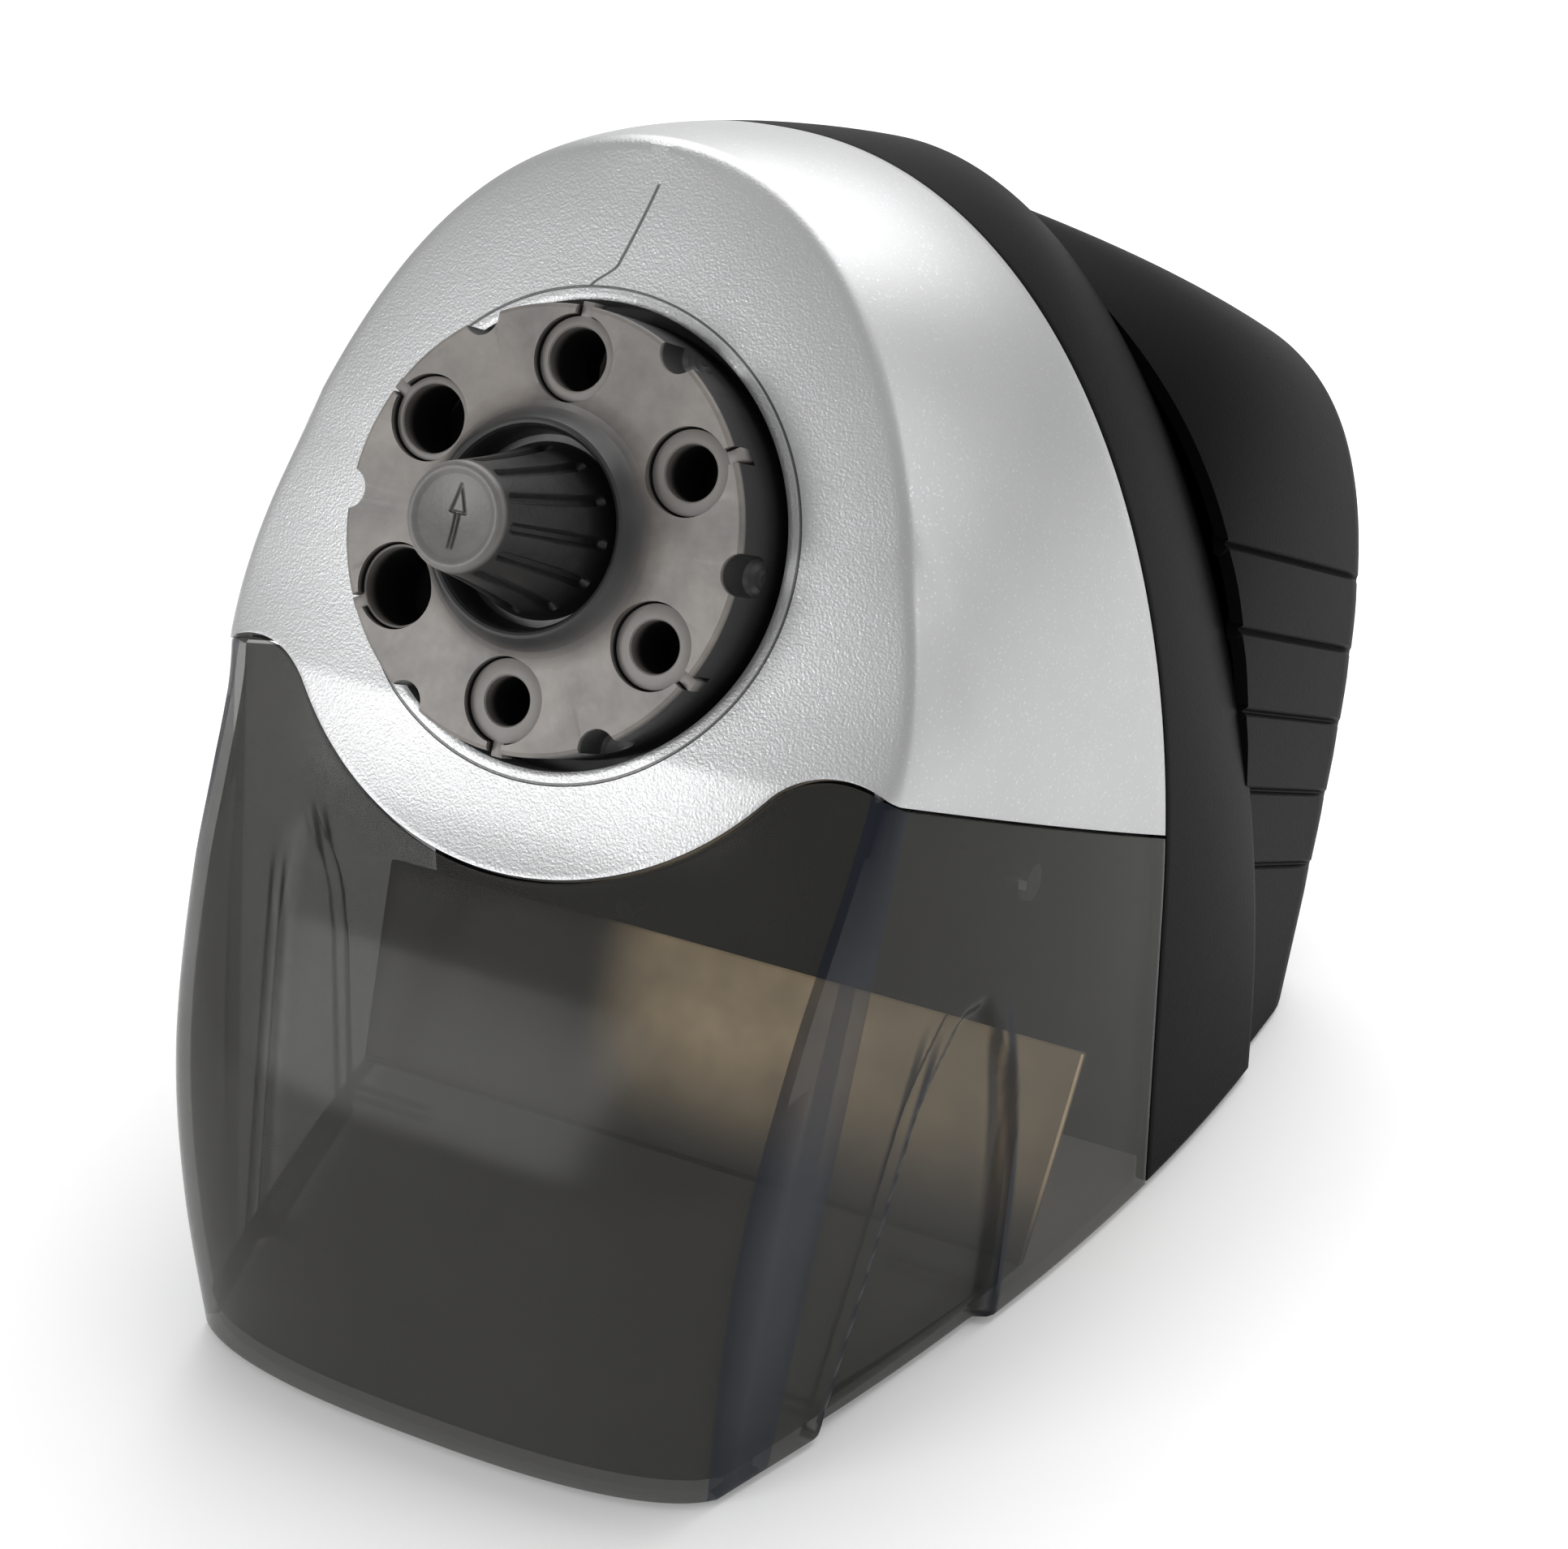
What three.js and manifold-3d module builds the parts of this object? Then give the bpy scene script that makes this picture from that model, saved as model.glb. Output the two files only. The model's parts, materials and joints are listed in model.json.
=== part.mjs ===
// Six-hole electric pencil sharpener, in millimetres: +X to the right, +Y to the back, +Z up.
// The origin is on the table, under the middle of the object's box.
import * as THREE from 'three';
import { mergeVertices } from 'three/addons/utils/BufferGeometryUtils.js';
import Module from 'manifold-3d';

const wasm = await Module();
wasm.setup();

// Body: widths, heights and seams
const bodyWidth = 154.6; // across the black band, its widest place
const dialHeight = 140.5; // dial centre above the table
const dialSetback = 45.66; // dial centre behind the foremost point of the bin
const bodyDepth = 250.24; // foremost point of the bin to the rear end
const pencilTilt = 26; // degrees that the pencil axis falls toward the back
const seamSetback = 73.8; // silver cover to black band, behind the dial centre
const bandLength = 43.5; // black band, front to back
const wall = 2.5; // moulded housing wall
const binWall = 2.3; // clear moulded bin wall
const groundGap = 1.5; // housings and bin above the table
const seamGap = 0.6; // shadow line between housings
const seat = 0.3; // assembly gap between pieces of one body
const play = 0.05; // running clearance of a shaft in its hole

// Dial
const dialRadius = 34;
const dialSkirt = 16.5; // front face to the back edge of the skirt
const dialGap = 1.8; // dial skirt to the cover's opening
const faceRing = 16.7; // silver face below the opening, down to the bin
const bushRadius = 6.45; // outside of every guide bush
const dialRim = 1.55; // least plastic between a bush and the dial's edge
const bushBores = [4.75, 5.25, 6.0, 3.75, 3.95, 4.2]; // bore radii, anticlockwise from the top
const knobLength = 24.5; // in front of the dial face
const knobNose = 8.1;
const knobBase = 13.4;
const studRadius = 4;

// Cutting head and drive
const toothModule = 1;
const cutterRadius = 5.5;
const cutterAngle = 11; // degrees between cutter axis and pencil axis
const cutterStart = 50; // cutter's front end behind the dial face
const cutterLength = 27;
const planetTeeth = 12;
const ringTeeth = 36;
const pinionTeeth = 12;
const driveTeeth = 48;
const headShaft = 4;
const motorShaft = 3;
const gearWidth = 6;
const bulkheadStart = 84; // tilted partition behind the cutting head
const bulkheadThick = 4;
const rotorRadius = 17;
const coreStart = 114;
const coreLength = 30;
const fanRadius = 26;

// Fastenings and feet
const footRadius = 8;
const footHeight = 4;
const basePlate = 3;
const screwShank = 1.5;
const screwHead = 3.1;

const radians = THREE.MathUtils.degToRad;
const tilt = radians(pencilTilt);
const dialY = dialSetback - bodyDepth / 2;
const seamY = seamSetback;
const holeCircle = dialRadius - dialRim - bushRadius; // radius of the ring of pencil holes
const bandEnd = seamSetback + bandLength;
const gearDistance = (toothModule * (pinionTeeth + driveTeeth)) / 2;
const motorDrop = holeCircle - gearDistance; // motor axis, measured up the dial face
const far = 300;

const silver = { color: '#b9bbbd', roughness: 0.38, metalness: 0.75 };
const smoke = { color: '#3b3d3c', roughness: 0.12, metalness: 0 };
const black = { color: '#1b1b1d', roughness: 0.55, metalness: 0 };
const dialGrey = { color: '#3a3734', roughness: 0.42, metalness: 0 };
const steel = { color: '#9a9c9e', roughness: 0.35, metalness: 0.9 };
const darkSteel = { color: '#5b5d60', roughness: 0.45, metalness: 0.85 };
const copper = { color: '#a5602f', roughness: 0.4, metalness: 0.8 };
const nylon = { color: '#d9d6cc', roughness: 0.6, metalness: 0 };
const bronze = { color: '#9c7440', roughness: 0.4, metalness: 0.8 };
const rubber = { color: '#202020', roughness: 0.9, metalness: 0 };

// ---------------------------------------------------------------- solids

function toSolid(geometry) {
  const bare = geometry.clone();
  bare.deleteAttribute('normal');
  bare.deleteAttribute('uv');
  const welded = mergeVertices(bare, 1e-4);
  const corners = Array.from(welded.index.array);
  const places = welded.attributes.position;
  const triangles = [];
  let volume = 0;
  const [a, b, c] = [new THREE.Vector3(), new THREE.Vector3(), new THREE.Vector3()];
  for (let i = 0; i < corners.length; i += 3) {
    const [p, q, r] = corners.slice(i, i + 3);
    if (p === q || q === r || r === p) continue;
    triangles.push([p, q, r]);
    a.fromBufferAttribute(places, p);
    b.fromBufferAttribute(places, q);
    c.fromBufferAttribute(places, r);
    volume += a.dot(b.cross(c));
  }
  const outward = triangles.map((t) => (volume < 0 ? [t[0], t[2], t[1]] : t));
  return new wasm.Manifold(
    new wasm.Mesh({
      numProp: 3,
      vertProperties: new Float32Array(places.array),
      triVerts: new Uint32Array(outward.flat()),
    }),
  );
}

function toGeometry(solid) {
  const { vertProperties, triVerts } = solid.getMesh();
  const geometry = new THREE.BufferGeometry();
  geometry.setAttribute('position', new THREE.BufferAttribute(vertProperties, 3));
  geometry.setIndex(new THREE.BufferAttribute(triVerts, 1));
  geometry.computeVertexNormals();
  return geometry;
}

const join = (...solids) => solids.reduce((sum, next) => sum.add(next));
const cut = (solid, ...tools) => tools.reduce((rest, tool) => rest.subtract(tool), solid);

// Every vertex of a geometry moved by a formula of its own place.
function shaped(geometry, place) {
  const points = geometry.attributes.position;
  const from = new THREE.Vector3();
  for (let i = 0; i < points.count; i += 1) {
    from.fromBufferAttribute(points, i);
    const to = place(from);
    points.setXYZ(i, to[0], to[1], to[2]);
  }
  return geometry;
}

// ---------------------------------------------------------------- frames
// Head frame: x to the right, y back along the pencil axis from the dial face, z up the dial face.

const headPlace = new THREE.Matrix4()
  .makeRotationX(-tilt)
  .setPosition(0, dialY, dialHeight);
const inBody = (geometry) => toSolid(geometry.clone().applyMatrix4(headPlace));

const root = new THREE.Group();
const head = new THREE.Group();
head.position.set(0, dialY, dialHeight);
head.rotation.x = -tilt;
root.add(head);

function piece(name, shape, finish, parent = root) {
  const geometry = shape.isBufferGeometry ? shape : toGeometry(shape);
  const mesh = new THREE.Mesh(geometry, new THREE.MeshStandardMaterial(finish));
  mesh.name = name;
  parent.add(mesh);
  return mesh;
}

// A box between two corners.
function block(low, high) {
  const size = high.map((value, i) => value - low[i]);
  const middle = high.map((value, i) => (value + low[i]) / 2);
  return new THREE.BoxGeometry(...size).translate(...middle);
}

// A cylinder or cone along y, from y0 to y1, centred on x and z.
function barrel(radius, y0, y1, x = 0, z = 0, sides = 32, endRadius = radius) {
  return new THREE.CylinderGeometry(endRadius, radius, y1 - y0, sides)
    .translate(x, (y0 + y1) / 2, z);
}

// An upright cylinder from z0 to z1.
function post(radius, z0, z1, x, y, sides = 24) {
  return new THREE.CylinderGeometry(radius, radius, z1 - z0, sides)
    .rotateX(Math.PI / 2)
    .translate(x, y, (z0 + z1) / 2);
}

// The radius to draw a many-sided hole with, so that a shaft turns in it with the running clearance.
const runningBore = (radius, sides) => (radius + play) / Math.cos(Math.PI / sides);

// An outline in x and z, drawn out along y from y0 to y1.
function drawn(outline, y0, y1, options = {}) {
  return new THREE.ExtrudeGeometry(outline, { depth: y1 - y0, bevelEnabled: false, ...options })
    .rotateX(Math.PI / 2)
    .translate(0, y1, 0);
}

// An outline in y and z, drawn out along x over the given width about x = middle.
function crosswise(outline, width, middle = 0) {
  return new THREE.ExtrudeGeometry(outline, { depth: width, bevelEnabled: false })
    .rotateX(Math.PI / 2)
    .rotateZ(Math.PI / 2)
    .translate(middle - width / 2, 0, 0);
}

function polygon(points) {
  return new THREE.Shape(points.map(([x, y]) => new THREE.Vector2(x, y)));
}

function turned(profile, sides = 48) {
  return new THREE.LatheGeometry(profile.map(([r, y]) => new THREE.Vector2(r, y)), sides);
}

function ring(inner, outer, y0, y1, sides = 32) {
  return turned([[inner, y0], [outer, y0], [outer, y1], [inner, y1], [inner, y0]], sides);
}

// ---------------------------------------------------------------- outer skin
// Upright sections of the body at y behind the dial centre: a tall arch on straight sides.

const flareEnd = 121.7;
const flare = 0.001156;
const crownDrop = 0.00123;
const halfWidth = (y) => bodyWidth / 2 - flare * Math.max(0, flareEnd - y) ** 2;
const crown = (y) => dialHeight + 54 - 0.069 * y - crownDrop * y * y;
const springLine = (y) => dialHeight - 15.6 - 0.863 * y - 0.00111 * y * y;
const archFullness = (y) => Math.max(1.5, 2.28 - 1.9e-4 * (y - 80) ** 2);

function archWidth(y, z) {
  const rise = (z - springLine(y)) / (crown(y) - springLine(y));
  if (rise <= 0) return halfWidth(y);
  if (rise >= 1) return 0;
  return halfWidth(y) * (1 - rise ** archFullness(y)) ** (1 / archFullness(y));
}

const power = (value, exponent) => Math.sign(value) * Math.abs(value) ** exponent;

// A unit arch on unit legs: half circle above 0, legs down to -1.
function unitArch(parts = 14) {
  const outline = new THREE.Shape();
  outline.moveTo(1, -1);
  outline.lineTo(1, 0);
  for (let i = 1; i <= parts; i += 1) {
    const angle = (Math.PI * i) / parts;
    outline.lineTo(Math.cos(angle), Math.sin(angle));
  }
  outline.lineTo(-1, -1);
  return outline;
}

function archPlace(x, height, width, spring, top, bottom, fullness) {
  if (height < 0) return [x * width, spring + (spring - bottom) * height];
  const across = power(x, 2 / fullness) * width;
  return [across, spring + power(height, 2 / fullness) * (top - spring)];
}

// The arch body, inset all round, between two distances behind the dial centre.
function archBody(inset, y0, y1, steps = 5, bottom = -60) {
  const tall = new THREE.ExtrudeGeometry(unitArch(), { depth: 1, steps, bevelEnabled: false });
  return toSolid(shaped(tall, (p) => {
    const y = y0 + (y1 - y0) * p.z;
    const [x, z] = archPlace(
      -p.x, p.y, halfWidth(y) - inset, springLine(y), crown(y) - inset, bottom, archFullness(y),
    );
    return [x, dialY + y, z];
  }));
}

// The pillowed front: at each height an arc from corner to corner, bulging forward.
const kneeHeight = dialHeight - 30.5; // corner line bends here, where silver meets bin
const frontCorner = (z) => 0.6 + (z - kneeHeight) * (z < kneeHeight ? 0.269 : Math.tan(tilt));
const frontBulge = new THREE.SplineCurve(
  [[-14, 10], [0, 16], [26, 23.5], [53, 25.5], [78, 19], [97, 9.5], [118, 5], [160, 4.5], [205, 3]]
    .map(([z, bulge]) => new THREE.Vector2(z, bulge)),
);
const frontFullness = (z) => 2.2 + 0.8 * Math.sin(Math.PI * THREE.MathUtils.clamp(z / 130, 0, 1));

const frontFacets = 12;

function frontBody(inset, yEnd, steps = 9) {
  const outline = new THREE.Shape();
  outline.moveTo(1, 1);
  outline.lineTo(-1, 1);
  outline.lineTo(-1, 0.1);
  outline.lineTo(-1, 0);
  for (let i = 1; i < frontFacets; i += 1) {
    const angle = Math.PI * (1 + i / frontFacets);
    outline.lineTo(Math.cos(angle), Math.sin(angle));
  }
  outline.lineTo(1, 0);
  outline.lineTo(1, 0.1);
  const tall = new THREE.ExtrudeGeometry(outline, { depth: 1, steps, bevelEnabled: false });
  return toSolid(shaped(tall, (p) => {
    const { x: z, y: bulge } = frontBulge.getPoint(p.z);
    const corner = frontCorner(z) + inset;
    const width = Math.max(10, archWidth(frontCorner(z), z) + 0.5);
    const fullness = frontFullness(z);
    if (p.y > 0) return [p.x * bodyWidth, dialY + (p.y < 1 ? corner + p.y : yEnd), z];
    const y = corner + power(p.y, 2 / fullness) * bulge;
    return [power(p.x, 2 / fullness) * width, dialY + y, z];
  }));
}

const aboveTable = (z) => toSolid(block([-far, -far, z], [far, far, far]));
const behind = (y) => toSolid(block([-far, dialY + y, -far], [far, far, far]));
const ahead = (y) => toSolid(block([-far, -far, -far], [far, dialY + y, far]));

// The front of the body, inset all round, and running on past the seam.
function frontShell(inset) {
  const end = seamY + 5 + inset;
  return archBody(inset, -50 + inset, end).intersect(frontBody(inset, end));
}

// The parting line of cover and bin: a scallop round the dial between two ears, swept along the
// pencil axis. grow moves it up into the cover.
const scallopRadius = dialRadius + dialGap + faceRing;
const earRadius = 14;
const earTop = -26.5;
function coverRegion(grow) {
  const earZ = earTop - earRadius;
  const earX = Math.sqrt((scallopRadius + earRadius) ** 2 - earZ ** 2);
  const lean = Math.atan2(-earZ, earX);
  const radius = earRadius + grow;
  const start = Math.acos(-7.3 / radius);
  const outline = new THREE.Path();
  outline.moveTo(-far, earTop - 20 + grow);
  outline.absarc(-earX, earZ, radius, start, lean, true);
  outline.absarc(0, 0, scallopRadius - grow, Math.PI + lean, 2 * Math.PI - lean, false);
  outline.absarc(earX, earZ, radius, Math.PI - lean, Math.PI - start, true);
  outline.lineTo(far, earTop - 20 + grow);
  outline.lineTo(far, far);
  outline.lineTo(-far, far);
  return inBody(drawn(new THREE.Shape(outline.getPoints(5)), -120, 160));
}

// ---------------------------------------------------------------- front cover

const openingRadius = dialRadius + dialGap;
const outerFront = frontShell(0);
const mountPlane = dialSkirt + 1.6; // front of the dial mount plate
const mountPosts = [45, 135, 225, 315].map((degrees) => {
  const reach = openingRadius + 7.6;
  return [reach * Math.cos(radians(degrees)), reach * Math.sin(radians(degrees))];
});

// The lugs that hold the cover to the bulkhead, just inside the bin's side walls.
const lugY = 40;
const lugZ = dialHeight - 63;
const lugThick = 3;
const lugRise = 52; // from the screw up to where the cover's side wall curves in over the lug
const lugX = (side) => side * (halfWidth(lugY) - wall - 5);

// A cylinder across the body, centred on x.
function sidePost(radius, length, x, y, z, sides = 20) {
  return new THREE.CylinderGeometry(radius, radius, length, sides)
    .rotateZ(Math.PI / 2)
    .translate(x, dialY + y, z);
}

function coverSolid() {
  const shell = cut(outerFront, frontShell(wall)).intersect(ahead(seamY - seamGap / 2));
  const cover = cut(shell, inBody(barrel(openingRadius, -60, dialSkirt - 3.2, 0, 0, 32)));
  const collar = inBody(ring(openingRadius, openingRadius + 1.9, 7.4, dialSkirt - 3.2, 32));
  const posts = mountPosts.map(([x, z]) => inBody(barrel(3.6, 11, mountPlane - seat, x, z, 10)));
  const solid = join(cover, collar, ...posts);
  const above = solid.intersect(coverRegion(seamGap / 2)).intersect(aboveTable(groundGap));
  const screwHoles = mountPosts.map(([x, z]) => inBody(barrel(1.25, 12.5, 40, x, z, 8)));
  const lugs = [-1, 1].map((side) => {
    const x = lugX(side);
    const tab = polygon([
      [lugY - 8, lugZ], [lugY + 8, lugZ], [lugY + 8, lugZ + lugRise], [lugY - 8, lugZ + lugRise + 4],
    ]);
    const plate = toSolid(crosswise(tab, lugThick, x).translate(0, dialY, 0));
    const eye = toSolid(sidePost(8, lugThick, x, lugY, lugZ, 16));
    const bore = toSolid(sidePost(screwShank + play, 9, x, lugY, lugZ, 8));
    return cut(join(plate.intersect(outerFront), eye), bore);
  });
  return join(cut(above, ...screwHoles), ...lugs);
}

piece('front_cover', coverSolid(), silver);

// ---------------------------------------------------------------- shavings bin

const binFloor = 2.6;
const binBack = 94.5; // front of the bin's tilted rear wall, along the pencil axis
const binBackTop = 38; // above the table
const tabFace = seamY - 3.5; // rear end of the tab that presses the interlock plunger
const gripDepth = 2.6;
const gripLeft = -15.6; // foot of the grip's front edge, behind the dial centre
const gripRight = 26;
const gripTop = 66;

// A finger grip: a leaning leaf in the side wall, sunk to a given depth, grown all round.
function gripCut(depth, grow) {
  const middle = (gripLeft + gripRight) / 2;
  const leaf = polygon([
    [gripLeft - grow, -1], [gripRight + grow, -1], [gripRight + 4.6 + grow, gripTop / 2],
    [gripRight - 1 + grow, gripTop - 4], [middle + 15, gripTop + grow], [middle + 8 - grow, gripTop - 4],
  ]);
  const sides = toSolid(crosswise(leaf, 2 * far).translate(0, dialY, 0));
  return cut(sides, archBody(depth, -50, seamY, 5));
}

const interlockZ = 30;
const interlockX = -30;

function binSolid() {
  const outside = cut(outerFront.intersect(aboveTable(groundGap)), gripCut(gripDepth, 0));
  const floor = toSolid(block([-far, -far, -far], [far, far, groundGap + binFloor]));
  const hollow = cut(frontShell(binWall), floor, gripCut(gripDepth + binWall, binWall));
  const tub = cut(outside, hollow).intersect(ahead(seamY - seamGap / 2));
  const below = cut(tub, coverRegion(-seamGap / 2));
  const back = inBody(block([-far, binBack, -far], [far, binBack + binWall, far]));
  const tab = toSolid(block(
    [interlockX - 2, dialY + tabFace - 30, interlockZ - 4],
    [interlockX + 2, dialY + tabFace, interlockZ + 4],
  ));
  const behindBack = inBody(block([-far, binBack + 1, -far], [far, far, far]));
  const low = toSolid(block([-far, -far, groundGap], [far, far, binBackTop]));
  const rearWall = back.intersect(outside).intersect(low);
  return join(below, rearWall, tab.intersect(behindBack));
}

piece('shavings_bin', binSolid(), smoke);

// ---------------------------------------------------------------- main housing

const plungerRadius = 2;

const bandFront = seamY + seamGap / 2;
const innerBand = archBody(wall, bandFront - 4, bandEnd + 4, 6);
const partitionY = bandFront + 0.6;
const floorTop = footHeight + basePlate + seat;
const rearBoss = { x: 44, y: bandEnd + 10 };
const frontBoss = { x: 58, y: bandFront + 12 };
const shaftRoom = 8.6; // radius of the bulkhead's hole round the motor shaft
const bearingOuter = headShaft + 3;
const motorPosts = [[-31, motorDrop + 24], [31, motorDrop + 24], [-31, motorDrop - 20], [31, motorDrop - 20]];

// Where the tilted bulkhead's front face meets the upright partition.
const bendUp = (partitionY - bulkheadStart * Math.cos(tilt)) / Math.sin(tilt);

piece('main_housing', cut(
  archBody(0, bandFront, bandEnd, 5),
  innerBand,
).intersect(aboveTable(groundGap)), black);

function bulkheadSolid() {
  const slab = inBody(block([-far, bulkheadStart, bendUp - 1], [far, bulkheadStart + bulkheadThick, 120]));
  const upright = toSolid(block(
    [-far, dialY + partitionY, floorTop],
    [far, dialY + partitionY + wall, dialHeight - bulkheadStart * Math.sin(tilt) + bendUp * Math.cos(tilt) + 2],
  ));
  const inside = archBody(wall + seat, 10, bandEnd + 4, 8);
  const coverRoom = join(behind(bandFront), frontShell(wall + 0.6));
  const plate = join(slab, upright).intersect(inside).intersect(coverRoom);
  const posts = motorPosts.map(([x, z]) => inBody(barrel(4, bulkheadStart + 1, coreStart - seat, x, z, 10)));
  const arms = [-1, 1].map((side) => {
    const x = lugX(side) - side * (lugThick / 2 + seat + 3);
    const arm = block(
      [x - 3, dialY + lugY - 7, lugZ - 7],
      [x + 3, dialY + partitionY + 1, lugZ + 7],
    );
    return cut(toSolid(arm), toSolid(sidePost(1.2, 40, x, lugY, lugZ, 8)));
  });
  const bosses = [-1, 1].map((side) => cut(
    toSolid(post(4.5, floorTop, floorTop + 20, side * frontBoss.x, dialY + frontBoss.y, 10)),
    toSolid(post(1.2, 0, floorTop + 14, side * frontBoss.x, dialY + frontBoss.y, 8)),
  ));
  const ribs = [-1, 1].map((side) => toSolid(block(
    [side * frontBoss.x - 1, dialY + partitionY + 1, floorTop],
    [side * frontBoss.x + 1, dialY + frontBoss.y - 3, floorTop + 20],
  )));
  const bearingHole = inBody(barrel(bearingOuter + seat, 60, 120, 0, holeCircle, 24));
  const shaftHole = inBody(barrel(shaftRoom, 60, 120, 0, motorDrop, 20));
  const plungerHole = toSolid(barrel(
    runningBore(plungerRadius, 20), dialY, dialY + partitionY + 20, interlockX, interlockZ, 20,
  ));
  return cut(join(plate, ...posts, ...arms, ...bosses, ...ribs), bearingHole, shaftHole, plungerHole);
}

piece('bulkhead', bulkheadSolid(), black);

// ---------------------------------------------------------------- rear housing

const rearEnd = 200; // flat rear end, measured along the pencil axis
const rearRound = 15;
const rearInset = 2; // step in from the band
const rearHalf = bodyWidth / 2 - rearInset - 1;
const grooveCount = 5;
const grooveTop = 20.5;
const grooveStep = 13.9;

const rearTop = (s) => 75 - rearInset - 0.055 * (s - 95);
const rearFullness = (s) => 2 + 1.9 * THREE.MathUtils.clamp((s - 95) / 95, 0, 1);
const rearSpring = -60;

// The rear housing's body, inset all round: arches square to the pencil axis, rounded at the end.
function rearBody(inset, s0) {
  const steps = 8;
  const tall = new THREE.ExtrudeGeometry(unitArch(16), { depth: 1, steps, bevelEnabled: false });
  const roundStart = rearEnd - rearRound;
  return inBody(shaped(tall, (p) => {
    const turn = Math.max(0, p.z * steps - (steps - 4)) * (Math.PI / 8);
    const along = Math.min(1, (p.z * steps) / (steps - 4));
    const s = s0 + (roundStart - s0) * along + (rearRound - inset) * Math.sin(turn);
    const shrink = inset + (rearRound - inset) * (1 - Math.cos(turn)) * 0.9;
    const [x, z] = archPlace(
      -p.x, p.y, rearHalf - shrink, rearSpring, rearTop(s) - shrink, -170, rearFullness(s),
    );
    return [x, s, z];
  }));
}

const glandX = 30;
const glandZ = -36;
const glandRadius = 6.2;

function rearSolid() {
  const start = behind(bandEnd + seat);
  const outside = rearBody(0, 60).intersect(aboveTable(groundGap));
  let shell = cut(outside, rearBody(wall, 50)).intersect(start);
  for (let i = 0; i < grooveCount; i += 1) {
    const z = grooveTop - i * grooveStep;
    const slot = block([-far, 60, z - 0.6], [far, rearEnd - 8, z + 0.6]);
    shell = cut(shell, cut(inBody(slot), rearBody(1, 50)));
  }
  const vents = [-2, -1, 0, 1, 2].map((i) => inBody(block(
    [-24, rearEnd - 12, motorDrop + i * 9 - 2],
    [24, rearEnd + 9, motorDrop + i * 9 + 2],
  )));
  const cordHole = inBody(barrel(glandRadius + seat, rearEnd - 20, far, glandX, glandZ, 16));
  return cut(shell, ...vents, cordHole);
}

piece('rear_housing', rearSolid(), black);

// ---------------------------------------------------------------- base plate, feet and screws

const baseInside = archBody(wall + seat, bandFront + wall, bandEnd, 4);
const rearInside = rearBody(wall + seat, 60);

function baseSolid() {
  const slab = (y0, y1) => toSolid(block([-far, dialY + y0, footHeight], [far, dialY + y1, footHeight + basePlate]));
  const front = slab(partitionY + wall + seat, bandEnd + 1).intersect(baseInside);
  const back = slab(bandEnd - 4, 200).intersect(rearInside);
  const plate = join(front, back.intersect(behind(bandEnd - 4)));
  const holes = screwPlaces.map(([x, y]) => toSolid(post(screwShank + 0.4, 0, 20, x, dialY + y, 10)));
  const pegs = footPlaces.map(([x, y]) => toSolid(post(pegRadius + seat, 0, 20, x, dialY + y, 10)));
  return cut(plate, ...holes, ...pegs);
}

const screwPlaces = [-1, 1].flatMap((side) => [frontBoss, rearBoss].map(({ x, y }) => [side * x, y]));
const pegRadius = 2.5;
const footPlaces = [-1, 1].flatMap((side) => [[side * 40, bandFront + 14], [side * 58, bandEnd + 2]]);
piece('base_plate', baseSolid(), black);

['front_left', 'rear_left', 'front_right', 'rear_right'].forEach((place, i) => {
  const [x, y] = footPlaces[i];
  const foot = join(
    toSolid(post(footRadius, 0, footHeight - seat, x, dialY + y, 20)),
    toSolid(post(pegRadius, 1, footHeight + basePlate + 1, x, dialY + y, 10)),
  );
  piece(`foot_${place}`, foot, rubber);
});

['front_left', 'rear_left', 'front_right', 'rear_right'].forEach((place, i) => {
  const [x, y] = screwPlaces[i];
  const base = footHeight - seat;
  const screw = join(
    toSolid(post(screwHead, base - 2, base, x, dialY + y, 12)),
    toSolid(post(1.05, base - 0.5, base + 13, x, dialY + y, 8)),
  );
  piece(`base_screw_${place}`, screw, steel);
});

[-1, 1].forEach((side) => {
  const x = lugX(side);
  const outer = x + side * (lugThick / 2 + seat);
  const screw = join(
    toSolid(sidePost(screwHead, 1.4, outer + side * 0.7, lugY, lugZ, 12)),
    toSolid(sidePost(1.05, 11, outer - side * 5, lugY, lugZ, 8)),
  );
  piece(`cover_screw_${side < 0 ? 'left' : 'right'}`, screw, steel);
});

// The cord enters through a grommet low in the rear end.
piece('cord_gland', join(
  toSolid(ring(3.2, glandRadius, rearEnd - wall - 3, rearEnd + 1.5, 16)),
  toSolid(ring(3.2, 8, rearEnd + seat, rearEnd + 1.8, 16)),
).translate([glandX, 0, glandZ]), rubber, head);

// ---------------------------------------------------------------- dial

const holeAngle = (i) => radians(90 + 60 * i);
const plateRadius = openingRadius + 11.2;
const plateThick = 3;

function mountSolid() {
  const hub = barrel(8, 6.2, mountPlane + 1, 0, 0, 20);
  const plate = join(toSolid(barrel(plateRadius, mountPlane, mountPlane + plateThick, 0, 0, 32)), toSolid(hub));
  const holes = mountPosts.map(([x, z]) => toSolid(barrel(1.7, 0, 40, x, z, 8)));
  const entry = toSolid(barrel(7.2, 0, 40, 0, holeCircle, 20));
  return cut(plate, ...holes, entry, toSolid(barrel(studRadius - 1 + seat, 0, 40, 0, 0, 24)));
}

piece('dial_mount', mountSolid(), black, head);

mountPosts.forEach(([x, z], i) => {
  const back = mountPlane + plateThick + seat;
  piece(`mount_screw_${i + 1}`, join(
    toSolid(barrel(screwHead - 0.4, back, back + 1.6, x, z, 12)),
    toSolid(barrel(1.05, back - 8, back + 0.5, x, z, 8)),
  ), steel, head);
});

const recessDepth = 2.2; // bush rings lie below the dial face
const tabWidth = 2;
const tabReach = 2.4;
const hubBore = runningBore(studRadius, 24);
const seatDepth = 1.8; // knob's foot in the dial's recess

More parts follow.
